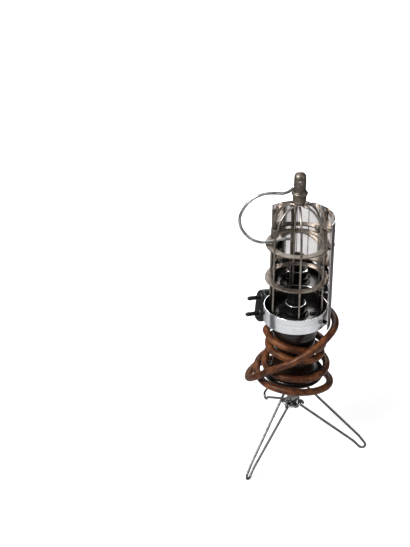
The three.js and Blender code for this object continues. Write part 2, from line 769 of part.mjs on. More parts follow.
function reflectorGeometry() {
  const start = radians(reflectorAzimuth);
  const end = radians(reflectorAzimuth + reflectorSweepAngle);
  const section = new THREE.Shape();
  section.absarc(0, 0, reflectorRadius, start, end, false);
  section.absarc(0, 0, reflectorInner, end, start, true);
  section.closePath();
  const sheet = new THREE.ExtrudeGeometry(section, {
    depth: reflectorHeight,
    curveSegments: reflectorSides,
    bevelEnabled: false,
  });
  const pieces = [sheet.translate(0, 0, collarBottom - reflectorDrop)];
  const tabTop = collarBottom - seatGap;
  for (const azimuth of clipAzimuths) {
    const tab = block(
      [collarInner, -tabWidth / 2, tabTop - reflectorWall],
      [reflectorInner + reflectorWall / 2, tabWidth / 2, tabTop],
    );
    pieces.push(turnedTo(tab, azimuth));
  }
  const holes = clipAzimuths.map((azimuth) => rivetHole(azimuth));
  return cut(joined(pieces), holes);
}

const rivetHole = (azimuth) =>
  aimed(
    disc(rivetRadius + seatGap, -clipReach / 4, clipReach / 4),
    polar(azimuth, reflectorInner, rivetHeight),
    polar(azimuth, 1, 0),
  );

// Clips: folded strips behind the reflector that slide on the middle ring
function clipsGeometry() {
  const back = reflectorInner - seatGap - clipSag;
  return clipAzimuths.map((azimuth) => {
    const low = midRingHeight - seatGap - clipThick;
    const half = clipWidth / 2;
    const pieces = [
      block([back - clipThick, -half, low], [back, half, rivetHeight + rivetHeadRadius + seatGap]),
      block([clipReach, -half, low], [back, half, low + clipThick]),
      block([clipReach, -half, clipTop - clipThick], [back, half, clipTop]),
    ];
    return cut(turnedTo(joined(pieces), azimuth), [rivetHole(azimuth)]);
  });
}

function rivetsGeometry() {
  const inner = reflectorInner - clipSag - clipThick - 2 * seatGap;
  const outer = reflectorRadius + seatGap;
  return clipAzimuths.map((azimuth) => {
    const rivet = turned([
      [0, inner - rivetHeadThick], [rivetHeadRadius, inner - rivetHeadThick],
      [rivetHeadRadius, inner], [rivetRadius, inner], [rivetRadius, outer],
      [rivetHeadRadius, outer], [rivetHeadRadius / 2, outer + rivetHeadThick],
      [0, outer + rivetHeadThick],
    ], smallSides);
    const axis = new THREE.Vector3(0, 0, rivetHeight);
    return aimed(rivet, axis, polar(azimuth, 1, 0));
  });
}

// Bottom plate, boss, stem and its nuts, on one line under the handle
const neckHole = stemNeckRadius + seatGap;
const bossTop = plateBottom - seatGap;
const stemTop = bossTop - bossHeight;
const stemShoulder = hubRingHeight + hubSleeveHeight / 2;
const hubTop = stemShoulder - seatGap;
const hubBottom = hubRingHeight - hubSleeveHeight / 2;

function plateGeometry() {
  const holes = plateScrewAzimuths.map((azimuth) =>
    disc(screwRadius + seatGap, plateBottom - overrun, plateTop + overrun)
      .translate(...polar(azimuth, plateScrewReach, 0)),
  );
  const sinks = plateScrewAzimuths.map((azimuth) =>
    disc(screwHeadRadius + seatGap, plateBottom - overrun, plateBottom + screwHeadThick)
      .translate(...polar(azimuth, plateScrewReach, 0)),
  );
  return cut(ringBody(neckHole, plateRadius, plateBottom, plateTop), [...holes, ...sinks]);
}

function plateScrewsGeometry() {
  return plateScrewAzimuths.map((azimuth) => {
    const place = polar(azimuth, plateScrewReach, plateBottom + screwHeadThick - seatGap);
    return aimed(slottedScrew(), place, upward.clone().negate(), polar(azimuth, 1, 0));
  });
}

function stemGeometry() {
  const low = hubBottom - capNutThick + 2 * seatGap;
  const high = plateTop + stemNutThick + 2 * seatGap;
  return turned([
    [0, low], [stemNeckRadius, low], [stemNeckRadius, stemShoulder], [stemRadius, stemShoulder],
    [stemRadius, stemTop - seatGap], [stemNeckRadius, stemTop - seatGap],
    [stemNeckRadius, high], [0, high],
  ], mediumSides);
}

// Hexagon nut on the stem's upper end, inside the handle
function stemNutGeometry() {
  const low = plateTop + seatGap;
  const high = low + stemNutThick;
  const tapping = disc(neckHole, low - overrun, high + overrun, mediumSides);
  return cut(disc(stemNutRadius, low, high, hexagonSides), [tapping]);
}

// Domed nut that closes the stem's lower end
function capNutGeometry() {
  const top = hubBottom - seatGap;
  const floor = hubBottom - capNutThick + seatGap;
  const low = floor - capNutFloor;
  return turned([
    [0, low], [capNutRadius / 2, low + capNutFloor / 4],
    [capNutRadius, floor], [capNutRadius, top], [neckHole, top], [neckHole, floor], [0, floor],
  ], mediumSides);
}

// Hub: a sleeve on the stem with three ears that hold the wire ring
function hubGeometry() {
  const pieces = [ringBody(neckHole, hubSleeveRadius, hubBottom, hubTop, mediumSides)];
  for (const azimuth of legAzimuths) {
    const ear = block(
      [(neckHole + hubSleeveRadius) / 2, -earWidth / 2, hubRingHeight - earHeight / 2],
      [hubRingRadius + wireRadius + earWall, earWidth / 2, hubRingHeight + earHeight / 2],
    );
    pieces.push(turnedTo(ear, azimuth + 180 / legAzimuths.length));
  }
  const groove = new THREE.TorusGeometry(
    hubRingRadius, wireRadius + seatGap, wireSides, mediumSides,
  );
  return cut(joined(pieces), [groove.translate(0, 0, hubRingHeight)]);
}

// Leg: an eye round the wire ring, a strand out to the foot, a U-turn and a strand back to the boss
function legGeometry(azimuth, index) {
  const footReach = footReaches[index];
  const points = [];
  const lowest = wireRadius - footFlat;
  const arc = (middle, radius, start, end, steps) => {
    for (let step = 0; step <= steps; step += 1) {
      const angle = radians(start + ((end - start) * step) / steps);
      points.push([middle[0] + radius * Math.cos(angle), middle[1] + radius * Math.sin(angle)]);
    }
  };
  const turnRadius = (footWidth - 2 * wireRadius * footPinchShare) / 2;
  const tailReach = bossRadius + wireRadius + seatGap;
  arc([hubRingRadius, hubRingHeight], eyeRadius, eyeStartAngle, eyeEndAngle, eyeSteps);
  points.push([footReach - footKink, lowest + footKink * kinkRiseShare]);
  arc([footReach, lowest + turnRadius], turnRadius, footStartAngle, footEndAngle, footSteps);
  points.push([
    footReach - footKink * upperKinkShare,
    lowest + turnRadius * 2 + footKink * kinkRiseShare,
  ]);
  points.push([tailReach, plateBottom - legTailLength - wireRadius]);
  points.push([tailReach, plateBottom - wireRadius]);
  const wire = bar(points.map(([reach, height]) => polar(azimuth, reach, height)), wireRadius);
  const under = block(
    [-footReach * 2, -footReach * 2, -footWidth], [footReach * 2, footReach * 2, 0],
  );
  return cut(wire, [under]);
}

// Plug, drawn about its face with the pins along Z and the upper pin along X
const plugFrame = new THREE.Matrix4().makeBasis(
  plugRise, new THREE.Vector3().crossVectors(plugHeading, plugRise), plugHeading,
).setPosition(plugFace);

function plugBodyGeometry() {
  const round = plugWidth / 2 - plugEdge;
  const half = plugLength / 2 - plugWidth / 2;
  const outline = new THREE.Shape();
  outline.absarc(half - plugDrop, 0, round, -Math.PI / 2, Math.PI / 2, false);
  outline.absarc(-half - plugDrop, 0, round, Math.PI / 2, (3 * Math.PI) / 2, false);
  outline.closePath();
  const core = new THREE.ExtrudeGeometry(outline, {
    depth: plugDepth - 2 * plugEdge,
    curveSegments: plugSides,
    bevelThickness: plugEdge,
    bevelSize: plugEdge,
    bevelSegments: 1,
  });
  core.translate(0, 0, plugEdge - plugDepth).applyMatrix4(plugFrame);
  const neck = turned([
    [0, -plugDepth / 3], [plugEntryRadius, -plugDepth / 3], [gripRadius, plugEntryLength],
    [0, plugEntryLength],
  ], mediumSides);
  const cutters = [-1, 1].map((side) =>
    disc(pinRadius + seatGap, -pinSeat - seatGap, overrun).translate(side * pinPitch / 2, 0, 0),
  );
  cutters.push(disc(screwHeadRadius + seatGap, -screwHeadThick - seatGap, overrun));
  cutters.push(screwHole(screwLength + 2 * screwHeadThick));
  const tools = cutters.map((tool) => tool.applyMatrix4(plugFrame));
  return cut(joined([core, aimed(neck, plugEntry, plugEntryAim)]), tools);
}

const plugEntry = new THREE.Vector3(plugEntryRise, 0, -plugDepth).applyMatrix4(plugFrame);

function plugPinsGeometry() {
  const tip = pinRadius / 2;
  return [-1, 1].map((side) =>
    turned([
      [0, -pinSeat], [pinRadius, -pinSeat], [pinRadius, pinLength - tip],
      [pinRadius - tip, pinLength], [0, pinLength],
    ], smallSides).translate(side * pinPitch / 2, 0, 0).applyMatrix4(plugFrame),
  );
}

const gripStart = along(plugEntry, plugEntryAim, plugEntryLength + seatGap);
const gripEnd = along(gripStart, plugEntryAim, gripLength);

// Cord: from the outlet round the handle, then the lead up behind the reflector to the plug
const cordDiameter = 2 * cordRadius;
const reliefEnd = along(outletFace, outletAim, reliefLength);
const windingExit = along(reliefEnd, outletAim, seatGap);
const stations = (places) => places.map((place) => polar(...place));
const loopPlaces = windingStations.map(([radius, height], index) =>
  polar(stationStartAzimuth + index * stationPitchAngle, radius, height),
);
const joint = loopPlaces[loopPlaces.length - 1];
const windingEnd = along(joint, jointAim, cordDiameter);
const leadStart = along(windingEnd, jointAim, seatGap);
const leadEnd = along(gripEnd, plugEntryAim, seatGap);

const windingCurve = new THREE.CatmullRomCurve3([
  windingExit, along(windingExit, outletAim, cordDiameter / 2),
  along(windingExit, outletAim, cordDiameter), ...stations(exitStations), ...loopPlaces,
  along(joint, jointAim, cordDiameter / 2), windingEnd,
]);
const leadCurve = new THREE.CatmullRomCurve3([
  leadStart, along(leadStart, jointAim, cordDiameter / 2), along(leadStart, jointAim, cordDiameter),
  ...stations(leadStations), along(leadEnd, plugEntryAim, cordDiameter),
  along(leadEnd, plugEntryAim, cordDiameter / 2), leadEnd,
]);
const loops = (windingStations.length * stationPitchAngle) / 360 + exitLoopShare;
const windingSteps = Math.round(loops * loopSteps);
const leadSteps = Math.round(leadCurve.getLength() / (leadStep * cordDiameter));

// Even steps along a run of cord, with both ends straight for one diameter
function cordPoints(curve, steps) {
  const straight = cordDiameter / curve.getLength();
  const shares = [0, straight];
  for (let step = 1; step < steps; step += 1) {
    const share = step / steps;
    if (share > 2 * straight && share < 1 - 2 * straight) {
      shares.push(share);
    }
  }
  return [...shares, 1 - straight, 1].map((share) => curve.getPointAt(share));
}

// Least gap between two runs of cord, leaving out pairs that lie close along one run
function leastGap(first, second, skip) {
  let least = Infinity;
  first.forEach((place, index) => {
    second.forEach((other, otherIndex) => {
      if (first !== second || Math.abs(index - otherIndex) > skip) {
        least = Math.min(least, place.distanceTo(other));
      }
    });
  });
  return least - cordDiameter;
}

const finePoints = windingCurve.getSpacedPoints(fineSteps);
const fineLead = leadCurve.getSpacedPoints(fineSteps);
const fineSkip = Math.ceil((fineSteps * 3 * cordDiameter) / windingCurve.getLength());
console.log("winding length", windingCurve.getLength().toFixed(1),
  "lead length", leadCurve.getLength().toFixed(1));
console.log("least gap of the winding to itself", leastGap(finePoints, finePoints, fineSkip).toFixed(2),
  "and to the lead", leastGap(finePoints.slice(0, -fineSkip), fineLead, 0).toFixed(2));

// Adds several alike pieces under numbered names
function addEach(name, geometries, finish) {
  geometries.forEach((geometry, index) => addPiece(`${name}_${index + 1}`, geometry, finish));
}

function reliefGeometry() {
  return turned([
    [0, -reliefInside], [reliefRadius, -reliefInside], [reliefRadius, 0],
    [reliefTipRadius, reliefLength], [0, reliefLength],
  ], mediumSides);
}

// The pieces, from the handle outwards
addPiece("handle", handleGeometry(), bakelite);
addPiece("handle_side_screw", aimed(
  slottedScrew(screwLength - overrun), along(sideScrewFace, sideScrewAim, seatGap), sideScrewAim,
), steel);
addPiece("strain_relief", aimed(reliefGeometry(), outletFace, outletAim), blackRubber);
addPiece("inner_cord", aimed(
  disc(cordRadius, -reliefInside - seatGap - innerCordLength, -reliefInside - seatGap),
  outletFace, outletAim,
), brownRubber);
addPiece("cord_clamp", clampGeometry(), steel);
addPiece("cord_clamp_screw", aimed(
  slottedScrew(clampScrewLength), new THREE.Vector3(
    clampScrewX, clampStart + clampWidth / 2,
    outletHeight - cordRadius - clampThick - 2 * seatGap,
  ), upward.clone().negate(), polar(0, 1, 0),
), steel);
addEach("inner_lead", leadsGeometry(), blackRubber);
addPiece("lamp_base", baseGeometry(), bakelite);
addEach("base_screw", baseScrewsGeometry(), steel);
addPiece("lampholder_body", holderGeometry(), bakelite);
addPiece("screw_shell", shellGeometry(), brass);
addPiece("centre_contact", contactGeometry(), brass);
addPiece("shade_ring", ringBody(
  barrelRadius + seatGap, shadeRingRadius, shadeRingBottom, shadeRingBottom + shadeRingThick,
  mediumSides,
), nickel);
addPiece("bottom_plate", plateGeometry(), nickel);
addEach("plate_screw", plateScrewsGeometry(), steel);
addPiece("stem_boss", ringBody(neckHole, bossRadius, stemTop, bossTop, mediumSides), nickel);
addPiece("stem", stemGeometry(), nickel);
addPiece("stem_nut", stemNutGeometry(), steel);
addPiece("hub", hubGeometry(), nickel);
addPiece("stem_cap_nut", capNutGeometry(), nickel);
addPiece("leg_ring", new THREE.TorusGeometry(
  hubRingRadius, wireRadius, wireSides, mediumSides,
).translate(0, 0, hubRingHeight), chrome);
addEach("leg", legAzimuths.map(legGeometry), chrome);
addPiece("collar", collarGeometry(), chrome);
addPiece("band_screw", aimed(
  slottedScrew(bandScrewLength, bandScrewHeadRadius), bandScrewFace, bandScrewAim,
), steel);
addPiece("band_nut", bandNutGeometry(), steel);
addPiece("bottom_ring", cageRing(bottomRingHeight, collarInner - seatGap), nickel);
addPiece("lower_ring", cageRing(lowerRingHeight), nickel);
addPiece("middle_ring", cageRing(midRingHeight), nickel);
addEach("cage_wire", wireAzimuths.map((azimuth) => bar(wirePoints(azimuth), wireRadius)), nickel);
addPiece("ferrule", ferruleGeometry(), nickel);
addPiece("swivel_stud", studGeometry(), steel);
addPiece("swivel_cap", capGeometry(), nickel);
addPiece("hook", hookGeometry(), chrome);
addPiece("reflector", reflectorGeometry(), mirror);
addEach("reflector_clip", clipsGeometry(), nickel);
addEach("reflector_rivet", rivetsGeometry(), steel);
addPiece("cord_winding", bar(
  cordPoints(windingCurve, windingSteps), cordRadius, loopSides,
), brownRubber);
addPiece("cord_lead", bar(
  cordPoints(leadCurve, leadSteps), cordRadius, leadSides,
), brownRubber);
addPiece("plug_body", plugBodyGeometry(), blackRubber);
addEach("plug_pin", plugPinsGeometry(), steel);
addPiece("plug_screw", slottedScrew(screwLength, screwHeadRadius)
  .translate(0, 0, -screwHeadThick).applyMatrix4(plugFrame), steel);
addPiece("plug_grip", aimed(turned([
  [0, 0], [gripRadius, 0], [gripRadius, gripLength - cordRadius / 4],
  [cordRadius + seatGap, gripLength], [0, gripLength],
], mediumSides), gripStart, plugEntryAim), chrome);

// The part's origin is the middle of the box round everything but the cord, at the floor
const ownPieces = new THREE.Box3();
for (const mesh of lamp.children) {
  if (!cordPieces.includes(mesh.name)) {
    mesh.geometry.computeBoundingBox();
    ownPieces.union(mesh.geometry.boundingBox);
  }
}
const middle = ownPieces.getCenter(new THREE.Vector3());
lamp.position.set(-middle.x, -middle.y, -ownPieces.min.z);
console.log("lamp axis at", lamp.position.toArray().map((value) => value.toFixed(3)).join(" "));

export default lamp;
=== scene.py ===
import bpy, bmesh, math
from mathutils import Matrix, Vector, noise


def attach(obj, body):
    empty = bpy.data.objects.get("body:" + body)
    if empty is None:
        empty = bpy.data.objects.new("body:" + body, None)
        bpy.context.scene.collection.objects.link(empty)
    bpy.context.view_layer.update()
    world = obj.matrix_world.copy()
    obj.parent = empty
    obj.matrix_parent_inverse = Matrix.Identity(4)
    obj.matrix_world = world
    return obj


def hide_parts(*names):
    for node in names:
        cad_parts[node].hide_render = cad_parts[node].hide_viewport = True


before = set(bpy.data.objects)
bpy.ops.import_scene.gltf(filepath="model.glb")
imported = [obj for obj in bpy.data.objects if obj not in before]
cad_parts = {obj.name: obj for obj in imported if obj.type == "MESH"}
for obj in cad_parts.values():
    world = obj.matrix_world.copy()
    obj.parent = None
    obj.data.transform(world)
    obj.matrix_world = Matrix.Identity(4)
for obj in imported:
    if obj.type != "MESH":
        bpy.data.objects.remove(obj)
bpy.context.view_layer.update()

# Where the lamp's axis meets the floor in the part's frame; all lengths are in millimetres
AXIS = Vector((-11.055, -6.737, 0.0))
GAP = 0.3  # clearance between pieces that touch
CORD = 4.25  # radius of the cord
WIRE = 1.2  # radius of the cage's wires and of the hub's ring
LEG_WIRE = 1.4  # radius of the legs' wires
CAMERA_AT = (-102, -1354, 994.3)
CAMERA_TILT = 60.5  # degrees up from straight down
LENS = 92.14
SENSOR = 36


def place(v):
    """A point about the lamp's axis, in metres in the part's frame."""
    return (Vector(v) + AXIS) / 1000


def polar(azimuth, radius, height):
    """A point from its azimuth in degrees, its distance from the axis and its height."""
    a = math.radians(azimuth)
    return Vector((radius * math.cos(a), radius * math.sin(a), height))


# ---------------------------------------------------------------- materials

EVEN = (1, 1, 1)  # the same scale on all axes
GRAIN = (900, 900, 900)
PIT_SCALE = 420
SPECK_SCALE = 700
FINE_SCALE = 1500
METAL_RELIEF = 0.0002  # depths of the bumps, in metres
PLASTIC_RELIEF = 0.0001
CRACK_RELIEF = 0.0003
LUMP_RELIEF = 0.0006


def fill_ramp(ramp, stops):
    """Sets the stops of a colour ramp, each a place and a colour."""
    while len(ramp.elements) < len(stops):
        ramp.elements.new(0.5)
    for element, (at, colour) in zip(ramp.elements, stops):
        element.position = at
        element.color = (*colour, 1)


class Nodes:
    """A node material: a Principled shader with noise-driven colour, gloss and bump."""

    def __init__(self, name):
        self.mat = bpy.data.materials.new(name)
        self.mat.use_nodes = True
        self.tree = self.mat.node_tree
        self.tree.nodes.clear()
        output = self.tree.nodes.new("ShaderNodeOutputMaterial")
        self.bsdf = self.tree.nodes.new("ShaderNodeBsdfPrincipled")
        self.link(self.bsdf.outputs[0], output.inputs[0])
        self.coord = self.tree.nodes.new("ShaderNodeTexCoord")

    def link(self, a, b):
        self.tree.links.new(a, b)

    def mapped(self, scale, source="Object"):
        node = self.tree.nodes.new("ShaderNodeMapping")
        node.inputs["Scale"].default_value = scale
        self.link(self.coord.outputs[source], node.inputs["Vector"])
        return node.outputs[0]

    def noise(self, vector, scale, detail, rough, distortion=0.0):
        node = self.tree.nodes.new("ShaderNodeTexNoise")
        node.inputs["Scale"].default_value = scale
        node.inputs["Detail"].default_value = detail
        node.inputs["Roughness"].default_value = rough
        node.inputs["Distortion"].default_value = distortion
        self.link(vector, node.inputs["Vector"])
        return node.outputs["Fac"]

    def ramp(self, fac, stops):
        """A colour that follows a value through the stops."""
        node = self.tree.nodes.new("ShaderNodeValToRGB")
        fill_ramp(node.color_ramp, stops)
        self.link(fac, node.inputs[0])
        return node.outputs[0]

    def grey(self, fac, low, high, start=0.35, end=0.65):
        return self.ramp(fac, [(start, (low,) * 3), (end, (high,) * 3)])

    def mix(self, fac, a, b):
        """Mixes two colours, each a socket, a colour or a number."""
        node = self.tree.nodes.new("ShaderNodeMix")
        node.data_type = "RGBA"
        for socket, value in ((node.inputs[0], fac), (node.inputs[6], a), (node.inputs[7], b)):
            if hasattr(value, "links"):
                self.link(value, socket)
            elif isinstance(value, (int, float)):
                socket.default_value = value
            else:
                socket.default_value = (*value, 1)
        return node.outputs[2]

    def bump(self, height, strength, distance, under=None):
        node = self.tree.nodes.new("ShaderNodeBump")
        node.inputs["Strength"].default_value = strength
        node.inputs["Distance"].default_value = distance
        self.link(height, node.inputs["Height"])
        if under is not None:
            self.link(under, node.inputs["Normal"])
        return node.outputs[0]

    def edges(self, colour, dark, start, end):
        """Darkens a colour towards the outline of a bright piece: a painted dark reflection along its
        rim, where the surface turns from the view.
        """
        weight = self.tree.nodes.new("ShaderNodeLayerWeight")
        weight.inputs["Blend"].default_value = 0.5
        return self.mix(self.grey(weight.outputs["Facing"], 0, 1.0, start, end), colour, dark)

    def finish(self, colour, rough, normal, metallic=0.0):
        self.link(colour, self.bsdf.inputs["Base Color"])
        self.link(rough, self.bsdf.inputs["Roughness"])
        self.link(normal, self.bsdf.inputs["Normal"])
        self.bsdf.inputs["Metallic"].default_value = metallic
        return self.mat


def metal(name, dark, light, rough, patch, grain=GRAIN, bump=0.05, spots=None, dark_rim_reflection=None,
          dark_rim_reflection_at=None):
    """A metal that wanders between two colours, with dark spots and, if given, a painted dark
    reflection along its outline.
    """
    n = Nodes(name)
    clouds = n.noise(n.mapped(EVEN), patch, 6, 0.6)
    fine = n.noise(n.mapped(grain), 1.0, 3, 0.6)
    colour = n.ramp(clouds, [(0.35, dark), (0.65, light)])
    if spots:
        pits = n.noise(n.mapped(EVEN), PIT_SCALE, 5, 0.7)
        colour = n.mix(n.grey(pits, 0, 1, 0.56, 0.7), colour, spots)
    # Painted dark reflection: the colour darkens towards the piece's outline.
    if dark_rim_reflection:
        colour = n.edges(colour, dark_rim_reflection, *dark_rim_reflection_at)
    gloss = n.grey(n.mix(0.5, clouds, fine), rough[0], rough[1])
    return n.finish(colour, gloss, n.bump(fine, bump, METAL_RELIEF), metallic=1.0)


def plastic(name, dark, light, rough, bump=0.08, patch=90, specular=0.35):
    """A plastic, rubber or paint that wanders between two colours."""
    n = Nodes(name)
    n.bsdf.inputs["Specular IOR Level"].default_value = specular
    clouds = n.noise(n.mapped(EVEN), patch, 5, 0.6)
    fine = n.noise(n.mapped(EVEN), FINE_SCALE, 3, 0.6)
    colour = n.ramp(clouds, [(0.3, dark), (0.7, light)])
    gloss = n.grey(n.mix(0.4, clouds, fine), rough[0], rough[1])
    return n.finish(colour, gloss, n.bump(fine, bump, PLASTIC_RELIEF))


bakelite = plastic("bakelite", (0.006, 0.004, 0.0035), (0.018, 0.009, 0.006), (0.14, 0.3), 0.05)
dish = plastic("dish_bakelite", (0.003, 0.003, 0.003), (0.008, 0.007, 0.007), (0.24, 0.4), 0.03,
               specular=0.12)
black_rubber = plastic("black_rubber", (0.006, 0.006, 0.006), (0.015, 0.015, 0.016), (0.4, 0.6))
plug_plastic = plastic("plug_plastic", (0.004, 0.004, 0.005), (0.011, 0.011, 0.012), (0.3, 0.46), 0.12)
pin_plastic = plastic("pin_finish", (0.007, 0.007, 0.007), (0.02, 0.018, 0.017), (0.4, 0.52), 0.1,
                      specular=0.3)
# The metals below that darken towards their outlines carry a painted dark reflection along the rim.
chrome = metal(
    "bright_chrome", (0.62, 0.63, 0.65), (0.78, 0.79, 0.8), (0.08, 0.18), 90,
    dark_rim_reflection=(0.10, 0.10, 0.105), dark_rim_reflection_at=(0.5, 0.86),
)
hook_metal = metal(
    "hook_chrome", (0.3, 0.3, 0.305), (0.5, 0.5, 0.505), (0.24, 0.4), 120,
    spots=(0.16, 0.155, 0.15), dark_rim_reflection=(0.03, 0.03, 0.03), dark_rim_reflection_at=(0.3, 0.7),
)
leg_chrome = metal(
    "leg_chrome", (0.1, 0.101, 0.104), (0.2, 0.202, 0.206), (0.34, 0.5), 140,
    spots=(0.05, 0.05, 0.05), dark_rim_reflection=(0.008, 0.008, 0.008), dark_rim_reflection_at=(0.12, 0.4),
)
foot_metal = metal(
    "foot_plating", (0.1, 0.098, 0.095), (0.26, 0.255, 0.25), (0.2, 0.38), 200,
    spots=(0.05, 0.045, 0.04), dark_rim_reflection=(0.03, 0.03, 0.03), dark_rim_reflection_at=(0.45, 0.85),
)
nickel = metal(
    "tarnished_nickel", (0.12, 0.10, 0.082), (0.25, 0.22, 0.19), (0.4, 0.58), 80, bump=0.12,
    spots=(0.06, 0.048, 0.038), dark_rim_reflection=(0.045, 0.036, 0.03), dark_rim_reflection_at=(0.5, 0.9),
)
wire_nickel = metal(
    "wire_nickel", (0.19, 0.166, 0.143), (0.4, 0.36, 0.315), (0.25, 0.41), 80, bump=0.12,
    spots=(0.06, 0.048, 0.038), dark_rim_reflection=(0.035, 0.029, 0.025), dark_rim_reflection_at=(0.4, 0.82),
)
steel = metal("dull_steel", (0.2, 0.2, 0.2), (0.36, 0.36, 0.36), (0.28, 0.5), 160)
dark_steel = metal("screw_dark", (0.018, 0.018, 0.018), (0.05, 0.047, 0.044), (0.35, 0.55), 160)
brass = metal("aged_brass", (0.28, 0.19, 0.08), (0.5, 0.36, 0.16), (0.25, 0.45), 120)
grip_metal = metal("grip_metal", (0.4, 0.4, 0.4), (0.62, 0.62, 0.61), (0.2, 0.4), 150)
mirror_in = metal(
    "reflector_inside", (0.66, 0.63, 0.625), (0.8, 0.775, 0.77), (0.03, 0.1), 40, (500, 500, 60), 0.03
)
mirror_out = plastic("reflector_outside", (0.06, 0.049, 0.051), (0.11, 0.092, 0.095), (0.3, 0.5), 0.06,
                     patch=50, specular=0.5)


def collar_material():
    """Bright metal with fine turned lines round it."""
    n = Nodes("collar_chrome")
    clouds = n.noise(n.mapped(EVEN), 60, 5, 0.6)
    lines = n.noise(n.mapped((12, 12, 2200)), 1.0, 3, 0.6)
    colour = n.ramp(clouds, [(0.35, (0.66, 0.67, 0.69)), (0.65, (0.8, 0.81, 0.83))])
    colour = n.mix(n.grey(lines, 0, 0.5, 0.5, 0.72), colour, (0.3, 0.3, 0.31))
    # Painted dark reflection along the band's outline.
    colour = n.edges(colour, (0.1, 0.1, 0.105), 0.5, 0.82)
    gloss = n.grey(n.mix(0.5, clouds, lines), 0.12, 0.3)
    return n.finish(colour, gloss, n.bump(lines, 0.2, METAL_RELIEF), metallic=1.0)


band_chrome = collar_material()


def cord_material():
    """Brown rubber, worn pale along the cord, with dark cracks and pale specks."""
    n = Nodes("cord_rubber")
    patches = n.noise(n.mapped(EVEN), 55, 6, 0.62)
    wear = n.noise(n.mapped((60, 2.5, 1), "UV"), 1.0, 5, 0.6)
    cracks = n.noise(n.mapped((900, 5, 1), "UV"), 1.0, 4, 0.65, 0.4)
    specks = n.noise(n.mapped(EVEN), SPECK_SCALE, 4, 0.7)
    colour = n.ramp(
        patches,
        [(0.3, (0.016, 0.005, 0.003)), (0.48, (0.056, 0.0155, 0.005)), (0.64, (0.16, 0.05, 0.015))],
    )
    colour = n.mix(n.grey(wear, 0, 0.85, 0.5, 0.7), colour, (0.22, 0.082, 0.027))
    colour = n.mix(n.grey(cracks, 0, 0.85, 0.56, 0.68), colour, (0.008, 0.004, 0.003))
    colour = n.mix(n.grey(specks, 0, 0.5, 0.62, 0.76), colour, (0.24, 0.12, 0.055))
    gloss = n.grey(n.mix(0.5, wear, specks), 0.3, 0.6)
    lumps = n.bump(wear, 0.3, LUMP_RELIEF)
    n.bsdf.inputs["Specular IOR Level"].default_value = 0.2
    return n.finish(colour, gloss, n.bump(cracks, 0.6, CRACK_RELIEF, lumps))


cord_rubber = cord_material()

# ---------------------------------------------------------------- mesh making

SHARP = 38  # degrees between faces from which an edge is drawn sharp
SLIGHT_TURN = 0.12  # radians; an outline's corner below it stays as it is


def add(name, verts, faces, materials, body, node=None, uv=None, faces_mat=None, angle=SHARP):
    """A mesh piece from points in millimetres about the lamp's axis."""
    me = bpy.data.meshes.new(name)
    me.from_pydata([place(v) for v in verts], [], faces)
    me.validate()
    bm = bmesh.new()
    bm.from_mesh(me)
    bmesh.ops.recalc_face_normals(bm, faces=bm.faces)
    bm.to_mesh(me)
    bm.free()
    for m in materials if isinstance(materials, list) else [materials]:
        me.materials.append(m)
    me.shade_smooth()
    me.set_sharp_from_angle(angle=math.radians(angle))
    if faces_mat:
        for poly, index in zip(me.polygons, faces_mat):
            poly.material_index = index
    if uv:
        layer = me.uv_layers.new(name="UVMap")
        for poly in me.polygons:
            for li, vi in zip(poly.loop_indices, poly.vertices):
                layer.data[li].uv = uv(poly.index, vi)
    ob = bpy.data.objects.new(name, me)
    bpy.context.scene.collection.objects.link(ob)
    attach(ob, body)
    if node:
        nodes = [node] if isinstance(node, str) else list(node)
        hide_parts(*nodes)
    return ob


def fillet(points, radius, closed=True, steps=4):
    """Rounds the corners of an outline with short curves."""
    out = []
    count = len(points)
    for i, p in enumerate(points):
        p = Vector(p)
        if not closed and i in (0, count - 1):
            out.append(p)
            continue
        a, b = Vector(points[i - 1]), Vector(points[(i + 1) % count])
        if (a - p).length < 1e-6 or (b - p).length < 1e-6:
            out.append(p)
            continue
        turn = (p - a).normalized().angle((b - p).normalized(), 0)
        if turn < SLIGHT_TURN:
            out.append(p)
            continue
        da = min(radius, (a - p).length * 0.45)
        db = min(radius, (b - p).length * 0.45)
        pa, pb = p + (a - p).normalized() * da, p + (b - p).normalized() * db
        for s in range(steps + 1):
            t = s / steps
            out.append(pa * (1 - t) ** 2 + p * 2 * t * (1 - t) + pb * t * t)
    return out


def rounded(outline, radius, closed=True, steps=4):
    """An outline of (radius, height) points with its corners rounded."""
    path = fillet([(r, z, 0) for r, z in outline], radius, closed, steps)
    return [(p[0], p[1]) for p in path]


def skin(rows, count, closed=False):
    """Faces between rows of points; a row of one point is a tip."""
    pairs = list(zip(rows, rows[1:]))
    if closed:
        pairs.append((rows[-1], rows[0]))
    faces = []
    for a, b in pairs:
        for s in range(count):
            t = (s + 1) % count
            quad = [a[s % len(a)], a[t % len(a)], b[t % len(b)], b[s % len(b)]]
            face = list(dict.fromkeys(quad))
            if len(face) > 2:
                faces.append(face)
    return faces


def basis(origin, direction, sideways=(0, 0, 1)):
    """A frame at a point with its Z along a direction."""
    z = Vector(direction).normalized()
    side = Vector(sideways)
    if abs(z.dot(side.normalized())) > 0.99:
        side = Vector((1, 0, 0))
    x = side.cross(z).normalized()
    y = z.cross(x)
    m = Matrix((x, y, z)).transposed().to_4x4()
    m.translation = Vector(origin)
    return m


def lathe_data(outline, segments, closed=True, matrix=None, radius_at=None):
    """A solid turned from an outline round Z."""
    verts, rows = [], []
    for r, z in outline:
        if r < 1e-4:
            rows.append([len(verts)])
            verts.append(Vector((0, 0, z)))
        else:
            rows.append(list(range(len(verts), len(verts) + segments)))
            for s in range(segments):
                a = 2 * math.pi * s / segments
                rr = radius_at(r, z, a) if radius_at else r
                verts.append(Vector((rr * math.cos(a), rr * math.sin(a), z)))
    if matrix:
        verts = [matrix @ v for v in verts]
    return verts, skin(rows, segments, closed)


